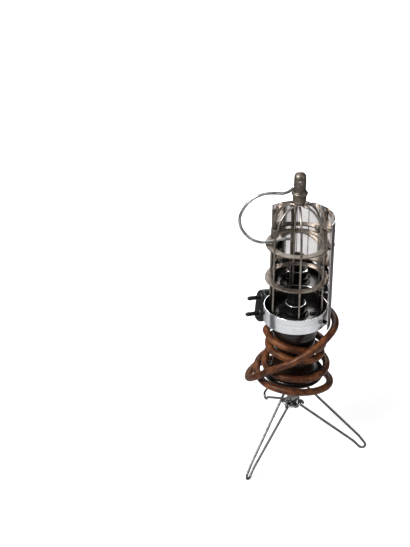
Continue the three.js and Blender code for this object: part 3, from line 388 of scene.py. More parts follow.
def lathe(name, outline, material, body, node, radius, segments=96, matrix=None, radius_at=None,
          angle=SHARP, steps=4):
    """A turned body; its outline closes on itself, or starts and ends on the axis."""
    closed = outline[0][0] > 1e-4
    outline = rounded(outline, radius, closed, steps)
    verts, faces = lathe_data(outline, segments, closed, matrix, radius_at)
    return add(name, verts, faces, material, body, node, angle=angle)


def merge(*parts):
    """Several solids as one list of points and one of faces."""
    verts, faces = [], []
    for v, f in parts:
        base = len(verts)
        verts += v
        faces += [[i + base for i in face] for face in f]
    return verts, faces


def catmull(points, spacing):
    """Points at even steps along the smooth curve through the given ones."""
    parts = 24  # straight pieces between two given points
    pts = [Vector(p) for p in points]
    pts = [pts[0] * 2 - pts[1]] + pts + [pts[-1] * 2 - pts[-2]]
    dense = []
    for i in range(1, len(pts) - 2):
        p0, p1, p2, p3 = pts[i - 1 : i + 3]
        d0, d1, d2 = ((b - a).length ** 0.5 for a, b in ((p0, p1), (p1, p2), (p2, p3)))
        t1 = ((p1 - p0) / d0 - (p2 - p0) / (d0 + d1) + (p2 - p1) / d1) * d1
        t2 = ((p2 - p1) / d1 - (p3 - p1) / (d1 + d2) + (p3 - p2) / d2) * d1
        for s in range(parts):
            t = s / parts
            dense.append(
                p1 + t1 * t + (p1 * -3 + p2 * 3 - t1 * 2 - t2) * t * t
                + (p1 * 2 - p2 * 2 + t1 + t2) * t**3
            )
    dense.append(pts[-2])
    return even(dense, spacing)


def even(points, spacing):
    """Points at even steps along a line of straight pieces."""
    lengths = [0]
    for a, b in zip(points, points[1:]):
        lengths.append(lengths[-1] + (b - a).length)
    count = max(1, round(lengths[-1] / spacing))
    out, i = [], 0
    for s in range(count + 1):
        want = lengths[-1] * s / count
        while i < len(points) - 2 and lengths[i + 1] < want:
            i += 1
        span = lengths[i + 1] - lengths[i]
        out.append(points[i].lerp(points[i + 1], (want - lengths[i]) / span if span else 0))
    return out


def tube_data(points, radius, sides=16, closed=False, radius_at=None):
    """A round wire along a line, without twist."""
    pts = [Vector(p) for p in points]
    n = len(pts)
    tangents = []
    for i in range(n):
        a = pts[i - 1] if i or closed else pts[0]
        b = pts[(i + 1) % n] if i < n - 1 or closed else pts[-1]
        tangents.append((b - a).normalized())
    up = Vector((0, 0, 1))
    if abs(tangents[0].dot(up)) > 0.9:
        up = Vector((1, 0, 0))
    normal = (up - tangents[0] * up.dot(tangents[0])).normalized()
    verts = []
    for i, (p, t) in enumerate(zip(pts, tangents)):
        normal = (normal - t * normal.dot(t)).normalized()
        side = t.cross(normal)
        r = radius_at(i, n) if radius_at else radius
        for s in range(sides):
            a = 2 * math.pi * s / sides
            verts.append(p + (normal * math.cos(a) + side * math.sin(a)) * r)
    rows = [list(range(i * sides, (i + 1) * sides)) for i in range(n)]
    faces = skin(rows, sides, closed)
    if not closed:
        faces += [rows[0][::-1], rows[-1]]
    return verts, faces


def tube(name, points, radius, material, body, node, sides, closed=False):
    """A round wire as a piece."""
    add(name, *tube_data(points, radius, sides, closed), material, body, node, angle=60)


def bevelled(name, data, material, body, node, width):
    """A piece with its sharp edges bevelled by the width."""
    ob = add(name, *data, material, body, node)
    bevel = ob.modifiers.new("edges", "BEVEL")
    bevel.width = width / 1000
    bevel.segments = 3
    bevel.limit_method = "ANGLE"
    bevel.angle_limit = math.radians(30)


def prism_data(low, high):
    """A solid between two rows of points."""
    count = len(low)
    rows = [list(range(count)), list(range(count, 2 * count))]
    return low + high, [rows[0][::-1], rows[1]] + skin(rows, count)


def block_data(low, high, matrix=None):
    """A box between two corners."""
    (x0, y0, z0), (x1, y1, z1) = low, high
    verts = [Vector((x, y, z)) for x in (x0, x1) for y in (y0, y1) for z in (z0, z1)]
    faces = [[0, 1, 3, 2], [4, 6, 7, 5], [0, 4, 5, 1], [2, 3, 7, 6], [0, 2, 6, 4], [1, 5, 7, 3]]
    if matrix:
        verts = [matrix @ v for v in verts]
    return verts, faces


# ---------------------------------------------------------------- camera and cord

camera = bpy.data.cameras.new("camera")
camera.lens = LENS
camera.sensor_width = SENSOR
camera.clip_end = 20
eye = bpy.data.objects.new("camera", camera)
eye.location = place(CAMERA_AT)
eye.rotation_euler = (math.radians(CAMERA_TILT), 0, 0)
bpy.context.scene.collection.objects.link(eye)
bpy.context.scene.camera = eye

# The cord's route: from the outlet round the handle, then up behind the reflector to the plug.
# Stations are [azimuth, distance from the axis, height]; the loops' are 30 degrees apart.
RELIEF_LENGTH = 22
OUTLET_HEIGHT = 157
outlet_aim = polar(88.7, 1, 0)
outlet = polar(60, 25, OUTLET_HEIGHT)
relief_tip = outlet + outlet_aim * RELIEF_LENGTH
cord_start = relief_tip + outlet_aim * GAP
exit_stations = [
    (82.6, 64.5, 153.5), (93.1, 69.3, 148.5), (103.9, 66, 144), (111.6, 56.4, 141.6),
    (121, 47, 140.8), (135, 40.2, 141.4),
]
loop_stations = [
    (36.2, 144.8), (31.4, 151.8), (29.9, 151), (29.8, 149.2), (29.8, 145.8), (30, 142.6),
    (31.4, 140), (33, 138), (32.6, 137), (30.8, 137), (30, 137.4), (29.9, 137.8),
    (29.7, 138), (29.6, 137.6), (29.6, 136.2), (29.7, 134.8), (29.8, 131.6), (30, 130),
    (30.4, 128), (31.2, 126), (31.2, 125.2), (30.8, 125.2), (31, 125), (31.6, 123.4),
    (32.2, 119.4), (33, 114.4), (34.8, 113.6), (35.8, 112.2), (36.2, 111.4), (36.8, 110.2),
    (37.2, 110), (37.6, 110.8), (37.4, 111.8), (37, 112.4), (37.2, 112), (38.8, 109.4),
    (42, 105.4), (42.4, 101.6), (41.4, 98.6), (41.6, 98.6), (42, 97.6), (42, 95),
    (42.4, 91), (42.6, 87), (41.4, 85.4), (40.6, 86.2), (40.2, 88.2),
]
lead_stations = [
    (130, 45.6, 92), (148, 48.2, 91.4), (164, 50.8, 90.2), (178, 52, 90.8), (192, 52.1, 96.4),
    (206, 49.5, 105.4), (220, 45.4, 114.7), (234, 43.2, 123.2), (249, 42.4, 130.6),
    (264, 42.2, 137.4), (278, 42.2, 144), (293, 42.2, 150.4), (310, 42.4, 156.2),
    (330, 43.2, 160.8), (350, 45, 163.6), (10, 46.2, 165.4), (30, 46.6, 167), (50, 47, 168.6),
    (68, 48.4, 170.6), (84, 51.4, 172.6),
]

# The plug's frame: Z points out along the pins, X from the lower pin to the upper
PINS = (-9.5, 9.5)  # places of the two pins
PLUG_DEPTH = 15
ENTRY_LENGTH = 4
GRIP_LENGTH = 6
plug_face = Vector((-38.9, 33.6, 167.5))
heading = Vector((-0.76, -0.6, 0.25)).normalized()
rise = Vector((0.108, 0.263, 0.959))
rise = (rise - heading * rise.dot(heading)).normalized()
plug_matrix = Matrix((rise, heading.cross(rise), heading)).transposed().to_4x4()
plug_matrix.translation = plug_face
entry = plug_matrix @ Vector((10.5, 0, -PLUG_DEPTH))
entry_aim = Vector((0.906, 0.42, 0.05)).normalized()
grip_start = entry + entry_aim * (ENTRY_LENGTH + GAP)
grip_end = grip_start + entry_aim * GRIP_LENGTH
cord_end = grip_end + entry_aim * GAP

# The winding ends at the joint, where the lead to the plug starts
joint_aim = Vector((-1, 0, 0.08)).normalized()
loops = [polar(150 + 30 * i, r, z) for i, (r, z) in enumerate(loop_stations)]
joint = loops[-1]
route = [cord_start, cord_start + outlet_aim * CORD, cord_start + outlet_aim * 2 * CORD]
route += [polar(*s) for s in exit_stations] + loops
route += [joint + joint_aim * d * CORD for d in (1, 2, 3, 4)]
route += [polar(*s) for s in lead_stations]
route += [cord_end + entry_aim * 2 * CORD, cord_end + entry_aim * CORD, cord_end]
CORD_STEP = 2.0
cord_line = catmull(route, CORD_STEP)

CORD_SIDES = 20
SLIMMING = 0.98  # keeps the lumps within the cord's radius
LUMPS = 0.2  # share of the noise that shapes the cord's surface
verts, faces = tube_data(cord_line, CORD, CORD_SIDES)
shaped = []
for index, v in enumerate(verts):
    centre = cord_line[index // CORD_SIDES]
    lump = noise.noise(v * 0.055) * 0.10 + noise.noise(v * 0.4) * 0.05
    shaped.append(centre + (v - centre) * (SLIMMING + lump * LUMPS))


def cord_uv(face, vert):
    """Metres along the cord, and the share of the way round it."""
    ring, side = divmod(vert, CORD_SIDES)
    seam = face % CORD_SIDES == CORD_SIDES - 1
    if face < (len(cord_line) - 1) * CORD_SIDES and seam and side == 0:
        side = CORD_SIDES
    return (ring * (CORD_STEP / 1000), side / CORD_SIDES)


cord = add(
    "cord", shaped, faces, cord_rubber, "handle_unit", ["cord_winding", "cord_lead"], uv=cord_uv,
    angle=60,
)

# ---------------------------------------------------------------- plug and relief

PLUG_ROUND = 8.8  # radius of the plug's rounded ends
stadium = []
for middle, first in ((9.2, -90), (-11.2, 90)):
    for s in range(25):
        a = math.radians(first + 180 * s / 24)
        stadium.append((middle, math.cos(a), math.sin(a)))


def plug_shell():
    """The plug's body as rings of its outline, drawn in at both ends, with its cord neck."""
    profile = [(0, 0), (0.86, 0), (1, -1.6), (1, -6.6), (0.965, -7), (1, -7.4), (1, -13.2),
               (0.84, -PLUG_DEPTH), (0, -PLUG_DEPTH)]
    verts, rows = [], []
    for share, z in rounded(profile, 0.5, False, 3):
        if share < 1e-6:
            rows.append([len(verts)])
            verts.append(plug_matrix @ Vector((0, 0, z)))
            continue
        rows.append(list(range(len(verts), len(verts) + len(stadium))))
        for middle, x, y in stadium:
            size = PLUG_ROUND * share
            verts.append(plug_matrix @ Vector((middle + x * size, y * size, z)))
    neck_out = [(0, -4), (7.2, -4), (7.0, 1.6), (6.5, ENTRY_LENGTH), (0, ENTRY_LENGTH)]
    neck = lathe_data(rounded(neck_out, 0.6, False, 3), 48, False, basis(entry, entry_aim))
    rim_out = rounded([(2.6, -0.6), (5.4, -0.6), (5.1, 0.8), (4.1, 1.8), (2.6, 2.1)], 0.5)
    rims = [lathe_data(rim_out, 40, True, plug_matrix @ Matrix.Translation((side, 0, 0)))
            for side in PINS]
    shell = merge((verts, skin(rows, len(stadium))), *rims)
    return *merge(shell, neck), [0] * len(shell[1]) + [1] * len(neck[1])


plug_v, plug_f, plug_m = plug_shell()
plug = add("plug", plug_v, plug_f, [plug_plastic, grip_metal], "handle_unit", "plug_body",
           faces_mat=plug_m, angle=45)
for index, side in enumerate(PINS, 1):
    lathe(
        f"plug_pin_round_{index}",
        [(0, -6), (2.4, -6), (2.4, 4.6), (2.35, 5), (2.35, 12), (2.45, 15), (2.45, 17.6),
         (1.9, 19.4), (0, 19.95)],
        pin_plastic, "handle_unit", f"plug_pin_{index}", 0.6, 40,
        plug_matrix @ Matrix.Translation((side, 0, 0)),
    )


def screw(name, node, origin, direction, sideways, head=2.9, shank=1.2, length=6, thick=1.9,
          body="handle_unit", material=steel):
    """A slotted screw; its head starts at the origin and stands along the direction."""
    m = basis(origin, direction, sideways)
    outline = [(0, -length), (shank, -length + 0.4), (shank, 0), (head, 0), (head, thick * 0.45),
               (head * 0.72, thick * 0.9), (0, thick)]
    ob = lathe(name, outline, material, body, node, 0.25, 40, m, steps=3)
    slot = block_data((-head - 1, -0.35, thick - 0.75), (head + 1, 0.35, thick + 1), m)
    tool = add(name + "_slot", *slot, material, body)
    modifier = ob.modifiers.new("slot", "BOOLEAN")
    modifier.object = tool
    modifier.solver = "EXACT"
    bpy.context.view_layer.update()
    evaluated = ob.evaluated_get(bpy.context.evaluated_depsgraph_get())
    made = bpy.data.meshes.new_from_object(evaluated)
    ob.modifiers.clear()
    ob.data = made
    bpy.data.objects.remove(tool, do_unlink=True)
    return ob


plug_screw = screw("plug_centre_screw", "plug_screw", plug_matrix @ Vector((0, 0, -1.9)), heading,
                   rise, head=2.7)
grip_profile = [(0, 0), (6.3, 0)]
for step in range(4):
    grip_profile += [(6.3, 0.3 + step * 1.15), (5.9, 0.6 + step * 1.15), (6.3, 1.1 + step * 1.15)]
grip_profile += [(6.2, 5.2), (4.7, GRIP_LENGTH), (0, GRIP_LENGTH)]
grip = lathe("plug_cord_grip", grip_profile, grip_metal, "handle_unit", "plug_grip", 0.2, 64,
             basis(grip_start, entry_aim))

relief_profile = [(0, -13.8), (6.5, -13.8), (6.5, 0)]
for step in range(5):
    r = 6.5 - 1.5 * (step + 0.5) / 5
    z = 1.2 + step * 4
    relief_profile += [(r, z), (r - 0.1, z + 2.4), (r - 0.75, z + 2.7), (r - 0.8, z + 3.4)]
relief_profile += [(4.95, 21.2), (4.8, 21.9), (0, 21.9)]
relief = lathe("cord_relief", relief_profile, black_rubber, "handle_unit", "strain_relief", 0.25, 48,
               basis(outlet, outlet_aim))

# ---------------------------------------------------------------- handle unit

handle_out = [
    (18, 96.2), (20.7, 96.2), (20.7, 92), (24.4, 92), (25.5, 93.2), (33.2, 95.8), (34.5, 97.4),
    (34.5, 102.2), (33.4, 103.4), (28.6, 104.4), (26.4, 107.6), (24.6, 114), (23.6, 122), (23.5, 133),
    (23.6, 145), (23.9, 149), (24.8, 150.4), (25, 151.6), (25, 156), (24.8, 156.4), (25, 156.8),
    (25, 168.8), (24, 170), (3.6, 170), (3.6, 163), (18, 163),
]
lathe("handle_shell", handle_out, bakelite, "handle_unit", "handle", 1.0, 128)
SIDE_SCREW = 237  # azimuth of the small bright screw
screw("waist_screw", "handle_side_screw", polar(SIDE_SCREW, 23.9, 143), polar(SIDE_SCREW, 1, 0),
      (0, 0, 1), material=chrome, length=5)

base_out = [
    (3.6, 170.3), (34.8, 170.3), (34.8, 173.6), (34.2, 174.5), (27.2, 174.5), (27, 176.1),
    (24.6, 176.1), (24.2, 175.6), (23.6, 176.1), (15.2, 176.1), (13.6, 177.5), (3.6, 177.5),
]
lathe("dish_base", base_out, dish, "handle_unit", "lamp_base", 0.5, 128)
for index, side in enumerate((-1, 1), 1):
    screw(f"dish_screw_{index}", f"base_screw_{index}", Vector((19 * side, 0, 176.4)), (0, 0, 1),
          (1, 0.4, 0), length=12, material=dark_steel)


def thread(radius, depth, low, high, turns):
    """Outline points of a thread's waves, from low to high."""
    points = []
    count = turns * 8
    for k in range(count + 1):
        z = low + (high - low) * k / count
        points.append((radius - depth * (0.5 + 0.5 * math.cos(2 * math.pi * k / 8)), z))
    return points


holder = [(3, 177.8), (12.7, 177.8), (12.8, 178.6), (12.8, 180.6), (12.1, 182.2), (11, 182.2),
          (11, 189.4), (8.95, 189.6)]
holder += thread(9.4, 0.45, 192.4, 207.2, 6)
holder += [(9.0, 208), (8.2, 208), (8.2, 183.8), (3, 183.8)]
lathe("holder_body", holder, dish, "handle_unit", "lampholder_body", 0.2, 96, angle=50, steps=2)
shell_out = thread(7.9, 0.5, 184.2, 204.1, 5)
shell_in = [(r - 0.6, z) for r, z in reversed(shell_out)]
lathe("holder_shell", shell_out + shell_in, brass, "handle_unit", "screw_shell", 0.05, 96, angle=60,
      steps=2)
lathe("holder_ring", [(9.7, 189.9), (11.9, 189.9), (12.2, 190.6), (12.1, 191.6), (11.4, 192.1),
                      (9.7, 192.1)],
      chrome, "handle_unit", "shade_ring", 0.4, 96)

contact_side = [(-4.5, 0), (4.5, 0), (4.5, 0.5), (-3.5, 0.5), (2.2, 2.5), (2.2, 3), (-4.5, 0.5)]
contact = [[Vector((x, y, 184.1 + z)) for x, z in contact_side] for y in (-1.7, 1.7)]
bevelled("contact_strip", prism_data(*contact), brass, "handle_unit", "centre_contact", 0.1)

# Inside the handle: the sheathed cord, its two cores and the clamp
RELIEF_INSIDE = 14
SHEATH_LENGTH = 11.6
inner_end = outlet - outlet_aim * (RELIEF_INSIDE + GAP + SHEATH_LENGTH)
sheath = [outlet - outlet_aim * (RELIEF_INSIDE + GAP + 0.6 * k) for k in range(20)]
tube("inner_sheath", sheath, CORD, cord_rubber, "handle_unit", "inner_cord", 32)
bends = [
    [(2.12, -2.1, -0.35), (0.7, -1.65, -0.56), (-0.35, -0.94, 0)],
    [(2.12, -2.1, 0.35), (1.06, -1.53, 0.24), (0.35, -0.7, 0.7)],
]
for index, side in enumerate((-1, 1)):
    shift = side * 1.5
    start = inner_end - outlet_aim * GAP + Vector((0, 0, shift))
    points = [start, start - outlet_aim * CORD / 2]
    points += [Vector(b) * CORD + Vector((0, 0, OUTLET_HEIGHT)) for b in bends[index]]
    points += [Vector((shift, 0, z)) for z in (164.1, 170.3, 183.5)]
    tube(f"inner_core_{index + 1}", catmull(points, 0.8), 1.1, black_rubber, "handle_unit",
         f"inner_lead_{index + 1}", 14)
bevelled("clamp_strap", merge(
    block_data((3.0, -1.5, 150.55), (15.97, 6.5, 152.45)),
    block_data((3.0, -1.5, 150.56), (7.6, 6.5, 162.7)),
), steel, "handle_unit", "cord_clamp", 0.4)
screw("clamp_screw", "cord_clamp_screw", Vector((5.3, 2.5, 150.25)), (0, 0, -1), (1, 0, 0),
      length=17)

# ---------------------------------------------------------------- foot

HUB_RING = 10.2  # radius of the ring wire that the legs turn on
HUB_HEIGHT = 56
lathe("foot_plate", [(3.9, 92.3), (20.4, 92.3), (20.4, 95.7), (3.9, 95.7)], nickel, "handle_unit",
      "bottom_plate", 0.5, 96)
for index, azimuth in enumerate((30, 150, 270), 1):
    screw(f"foot_screw_{index}", f"plate_screw_{index}", polar(azimuth, 15, 93.9), (0, 0, -1),
          polar(azimuth, 1, 0))
lathe("foot_boss", [(3.9, 84.6), (7.2, 84.6), (8, 85.6), (8, 91), (7.2, 92), (3.9, 92)], chrome,
      "handle_unit", "stem_boss", 0.4, 64)
lathe("foot_stem", [(0, 49.9), (3.5, 49.9), (3.5, 59.7), (5.1, 59.7), (5.7, 60.5), (5.7, 66),
                    (5.3, 67), (5.3, 79), (5.7, 80), (5.7, 83.5), (5.1, 84.3), (3.5, 84.3),
                    (3.5, 100.3), (0, 100.3)],
      foot_metal, "handle_unit", "stem", 0.4, 64)
hexagons = [[polar(60 * k, 7.2, z) for k in range(6)] for z in (96, 100)]
bevelled("foot_nut", prism_data(*hexagons), steel, "handle_unit", "stem_nut", 0.4)
lathe("foot_cap_nut", [(0, 48.2), (1.8, 48.3), (3.8, 48.8), (5, 49.8), (5.2, 51.6), (4.9, 52),
                       (3.9, 52), (3.9, 49.6), (0, 49.6)],
      chrome, "handle_unit", "stem_cap_nut", 0.5, 64)
# The hub: a sleeve with three arms, each with a strip wrapped round the ring wire
WRAP_STEPS = 20
hub_out = rounded(
    [(3.9, 52.3), (5.3, 52.3), (5.6, 52.8), (5.6, 58.9), (5.3, 59.4), (3.9, 59.4)], 0.3)
hub_parts = [lathe_data(hub_out, 64)]
for azimuth in (50, 167, 295):
    turn = Matrix.Rotation(math.radians(azimuth), 4, "Z")
    hub_parts.append(block_data((4.8, -2.4, 54.2), (8.9, 2.4, 57.8), turn))
    wrap = []
    for k in range(WRAP_STEPS + 1):
        a = math.radians(-165 + 330 * k / WRAP_STEPS)
        for r, y in ((1.4, -2.4), (2.3, -2.4), (2.3, 2.4), (1.4, 2.4)):
            wrap.append(turn @ Vector((HUB_RING + r * math.cos(a), y, HUB_HEIGHT + r * math.sin(a))))
    rows = [list(range(4 * k, 4 * k + 4)) for k in range(WRAP_STEPS + 1)]
    last = rows[-1]
    ends = [rows[0], [last[0], last[3], last[2], last[1]]]
    hub_parts.append((wrap, skin(rows, 4) + ends))
bevelled("foot_hub", merge(*hub_parts), foot_metal, "handle_unit", "hub", 0.18)
tube("foot_ring", [polar(a, HUB_RING, HUB_HEIGHT) for a in range(0, 360, 5)], WIRE, chrome,
     "handle_unit", "leg_ring", 20, closed=True)

EYE = 2.8  # radius of the eye round the ring wire
FOOT_TURN = 4.38  # radius of the U-turn at the foot
FOOT_LOW = 0.8  # height of the lower strand's middle at the foot
FOOT_KINK = 9.5  # how far in from the foot the strands kink
FOOT_SLOPE = 0.82  # rise of the strands between the kink and the foot
TAIL_REACH = 9.5  # the upper strand's end, beside the boss
TAIL_HIGH = 91.1


def leg_points(azimuth, reach):
    """An eye round the ring wire, a strand to the foot, a U-turn and a strand back to the boss."""
    points = []

    def arc(centre, radius, start, end, steps):
        for s in range(steps + 1):
            a = math.radians(start + (end - start) * s / steps)
            points.append((centre[0] + radius * math.cos(a), centre[1] + radius * math.sin(a)))

    lift = FOOT_KINK * FOOT_SLOPE
    arc((HUB_RING, HUB_HEIGHT), EYE, -26, 237, 26)
    points.append((reach - FOOT_KINK, FOOT_LOW + lift))
    arc((reach, FOOT_LOW + FOOT_TURN), FOOT_TURN, -130, 50, 20)
    points.append((reach - FOOT_KINK * 0.42, FOOT_LOW + FOOT_TURN * 2 + lift))
    points.append((TAIL_REACH, TAIL_HIGH - 5))
    points.append((TAIL_REACH, TAIL_HIGH))
    path = fillet([(r, z, 0) for r, z in points], 3.0, closed=False, steps=5)
    return [polar(azimuth, p[0], p[1]) for p in even([Vector(p) for p in path], 1.6)]


for index, (azimuth, reach) in enumerate(((-10, 84), (107, 91), (235, 90.5)), 1):
    verts, faces = tube_data(leg_points(azimuth, reach), LEG_WIRE, 18)
    verts = [Vector((v.x, v.y, max(v.z, 0.0))) for v in verts]
    add(f"leg_wire_{index}", verts, faces, leg_chrome, f"leg_{index}", f"leg_{index}", angle=60)

# ---------------------------------------------------------------- cage

RING_INNER = 27.6
RING_OUTER = 35.5
RING_THICK = 1.5
BOTTOM_RING, LOWER_RING, MIDDLE_RING = 174.8, 222.7, 265.3  # heights of the rings' lower sides
CAGE_RADIUS = 31.55  # from the axis to the middle of an upright wire
CAGE_WIRES = 6
FIRST_WIRE = -87  # azimuth
DOME_LOW, DOME_RISE = 270, 43  # where the wires' dome starts, and its height
DOME_MIDDLE = 5  # from the axis to the middle of a wire's bend
BAND_INNER = 35.2
BAND_SCREW = -43  # azimuth of the clamp band's screw
band = lathe("clamp_band", [(BAND_INNER, 170), (35.75, 170), (36, 170.25), (36, 188.2),
                            (35.75, 188.5), (BAND_INNER, 188.5)],
             [band_chrome, dish], "cage", "collar", 0.15, 160)
middle_of_band = place((0, 0, 179))
# The band's inside is drawn in the black dish plastic: painted shade inside the collar.
for poly in band.data.polygons:
    if (poly.center - middle_of_band).xy.length < (BAND_INNER + 0.05) / 1000:
        poly.material_index = 1  # the inside, in the black dish plastic: painted shade
screw("clamp_band_screw", "band_screw", polar(BAND_SCREW, 36.3, 180.4), polar(BAND_SCREW, 1, 0),
      (0, 0, 1), head=2.6, length=2.8, body="cage", thick=1.8)
nut_matrix = basis(polar(BAND_SCREW, 34.6, 180.4), polar(BAND_SCREW, 1, 0))
bevelled("clamp_band_nut", block_data((-2.3, -2.3, -1.6), (2.3, 2.3, 0), nut_matrix), steel, "cage",
         "band_nut", 0.3)
# The bottom ring, down inside the band, takes the dark screw steel instead of nickel: painted shade in
# the recess.
for name, node, low, outer, material in (
    ("ring_low", "bottom_ring", BOTTOM_RING, 34.9, dark_steel),
    ("ring_middle_low", "lower_ring", LOWER_RING, RING_OUTER, nickel),
    ("ring_middle", "middle_ring", MIDDLE_RING, RING_OUTER, nickel),
):
    lathe(name, [(RING_INNER, low), (outer, low), (outer, low + RING_THICK),
                 (RING_INNER, low + RING_THICK)], material, "cage", node, 0.45, 144)


def wire_line(azimuth):
    """A cage wire: straight through the rings, then a dome in to the ferrule."""
    points = [(CAGE_RADIUS, z) for z in (BOTTOM_RING, LOWER_RING, MIDDLE_RING)]
    for s in range(9):
        t = 1.4 * s / 8
        reach = DOME_MIDDLE + (CAGE_RADIUS - DOME_MIDDLE) * math.cos(t)
        points.append((reach, DOME_LOW + DOME_RISE * math.sin(t)))
    points += [(6.2, 312.4), (4.15, 313.3), (3.3, 314.4), (3.3, 318.1)]
    return catmull([polar(azimuth, r, z) for r, z in points], 1.5)


for index in range(CAGE_WIRES):
    azimuth = FIRST_WIRE + 360 / CAGE_WIRES * index
    tube(f"cage_rod_{index + 1}", wire_line(azimuth), WIRE, wire_nickel, "cage",
         f"cage_wire_{index + 1}", 18)

KNURL_LOW = 319
KNURL_RIDGES = 40
KNURL_DEPTH = 0.42


def knurl(r, z, a):
    """Crossed ridges on the ferrule's side."""
    if r <= 7.2 or not KNURL_LOW - 0.1 < z < KNURL_LOW + 6.2:
        return r
    turn, climb = a * KNURL_RIDGES / (2 * math.pi), (z - KNURL_LOW) * 0.4
    ridge = abs((turn + climb) % 1 - 0.5) * 2
    other = abs((turn - climb) % 1 - 0.5) * 2
    return r - KNURL_DEPTH * (1 - min(ridge, other)) ** 1.5


ferrule = [(2.3, 320.8), (4.8, 320.8), (4.8, 315), (5.7, 315), (6.2, 315.7), (6.9, 317.4),
           (7.35, 318.6)]
ferrule += [(7.45, KNURL_LOW + 0.4 * k) for k in range(16)]
ferrule += [(7.2, 325.6), (6.7, 325.9), (2.3, 325.9)]
lathe("ferrule_knurled", ferrule, nickel, "cage", "ferrule", 0.12, 216, radius_at=knurl, angle=60,
      steps=2)
lathe("stud", [(0, 318.5), (3.6, 318.5), (3.6, 320.5), (2, 320.5), (2, 328.8), (3.6, 328.8),
               (3.6, 330.8), (0, 330.8)],
      steel, "cage", "swivel_stud", 0.3, 48)

# ---------------------------------------------------------------- swivel cap and hook

cap = [(2.3, 326.2), (7.9, 326.2), (8.6, 326.7), (8.9, 327.6), (8.9, 328.5), (8.3, 329.4), (7.2, 329.8),
       (6.8, 330.8), (6.6, 334), (6.65, 341), (6.6, 343.4), (6.4, 343.8), (6.55, 344.4)]
DOME_STEPS = 12
for s in range(DOME_STEPS + 1):
    t = math.pi / 2 * s / DOME_STEPS
    cap.append((6.5 * math.cos(t) if s < DOME_STEPS else 0, 347.2 + 5.3 * math.sin(t)))
cap_out = [(0, 331.1), (3.9, 331.1), (3.9, 328.5), (2.3, 328.5)] + cap
lathe("swivel_dome", cap_out, nickel, "swivel", "swivel_cap", 0.35, 96, steps=3)

# Bends of the hook: outwards and downwards from its hole, and behind it
HOOK_WIRE = 1.62
outward = polar(183, 1, 0)
behind = polar(93, 1, 0)
hole = Vector((0, 0, 343))
hook_shape = [
    (0, 0, -8.3), (0, 0, -6), (0, 0, -3), (0, 0, 0), (0, 0, 3), (0, 0, 5.4), (0, 0, 7.2),
    (0.12, 0.3, 8.7), (0.8, 2.4, 10.6), (2.3, 7, 11.6), (5.2, 13, 10.6), (10.4, 16.6, 7.6),
    (17.5, 17, 3.6), (25, 15.4, 1), (33, 14.8, 0), (41, 16.1, 0), (50.4, 20.8, 0), (58.4, 29.2, 0),
    (64.2, 42.6, 0), (62.8, 55.6, 0), (55.6, 66.3, 0), (48, 72, 0), (40.8, 74.2, 0), (33, 73.8, 0),
    (26.3, 72.8, 0), (18.3, 71.2, 0), (7.5, 70.8, 0),
]
hook_line = catmull(
    [hole + outward * u + behind * n - Vector((0, 0, v)) for u, v, n in hook_shape], 1.2)
head_out = rounded([(0, -1.4), (1.7, -1.3), (2.5, -0.5), (2.5, 0), (0, 0)], 0.5, False)
head_data = lathe_data(head_out, 32, False, basis(hole - behind * 7.3, behind))


def hook_radius(i, n):
    """The wire's radius, drawn in over the last two steps."""
    left = n - 1 - i
    return HOOK_WIRE if left > 1 else (1.45 if left == 1 else 1.1)


hook_v, hook_f = tube_data(hook_line, HOOK_WIRE, 20, radius_at=hook_radius)
add("hook_wire", *merge((hook_v, hook_f), head_data), [hook_metal, nickel], "hook", "hook", angle=60,
    faces_mat=[0] * len(hook_f) + [1] * len(head_data[1]))

# ---------------------------------------------------------------- reflector

SHEET_START = -29  # azimuth of the reflector's first edge
SHEET_SWEEP = 163  # degrees
SHEET_COLUMNS, SHEET_ROWS = 82, 24  # of faces
CLIP_SHARES = (0.09, 0.5, 0.91)  # places of the clips and tabs along the sweep


def reflector_sheet():
    """The curved sheet with its tabs; material 0 is the mirror, 1 the back, 2 the edges and tabs."""
    inner, outer, low, high = 39.4, 40.0, 166, 299
    steps = SHEET_COLUMNS
    columns = [SHEET_START + SHEET_SWEEP * s / steps for s in range(steps + 1)]
    heights = [low + (high - low) * k / SHEET_ROWS for k in range(SHEET_ROWS + 1)]
    verts, faces, mats = [], [], []
    for r in (inner, outer):
        for a in columns:
            for z in heights:
                verts.append(polar(a, r, z))
    rows = len(heights)
    base = len(columns) * rows
    for c in range(steps):
        for k in range(rows - 1):
            p, q = c * rows + k, (c + 1) * rows + k
            faces.append([p, p + 1, q + 1, q])
            mats.append(0)
            faces.append([base + p, base + q, base + q + 1, base + p + 1])
            mats.append(1)
        for k in (0, rows - 1):
            p, q = c * rows + k, (c + 1) * rows + k
            faces.append([p, q, base + q, base + p] if k == 0 else [p, base + p, base + q, q])
            mats.append(2)
    for k in range(rows - 1):
        for c in (0, steps):
            p, q = c * rows + k, base + c * rows + k
            faces.append([p, q, q + 1, p + 1] if c == 0 else [p, p + 1, q + 1, q])
            mats.append(2)
    tabs = []
    for share in CLIP_SHARES:
        turn = Matrix.Rotation(math.radians(SHEET_START + share * SHEET_SWEEP), 4, "Z")
        tabs.append(block_data((35.3, -4, 169.1), (39.7, 4, 169.7), turn))
    verts, faces = merge((verts, faces), *tabs)
    return verts, faces, mats + [2] * (len(faces) - len(mats))


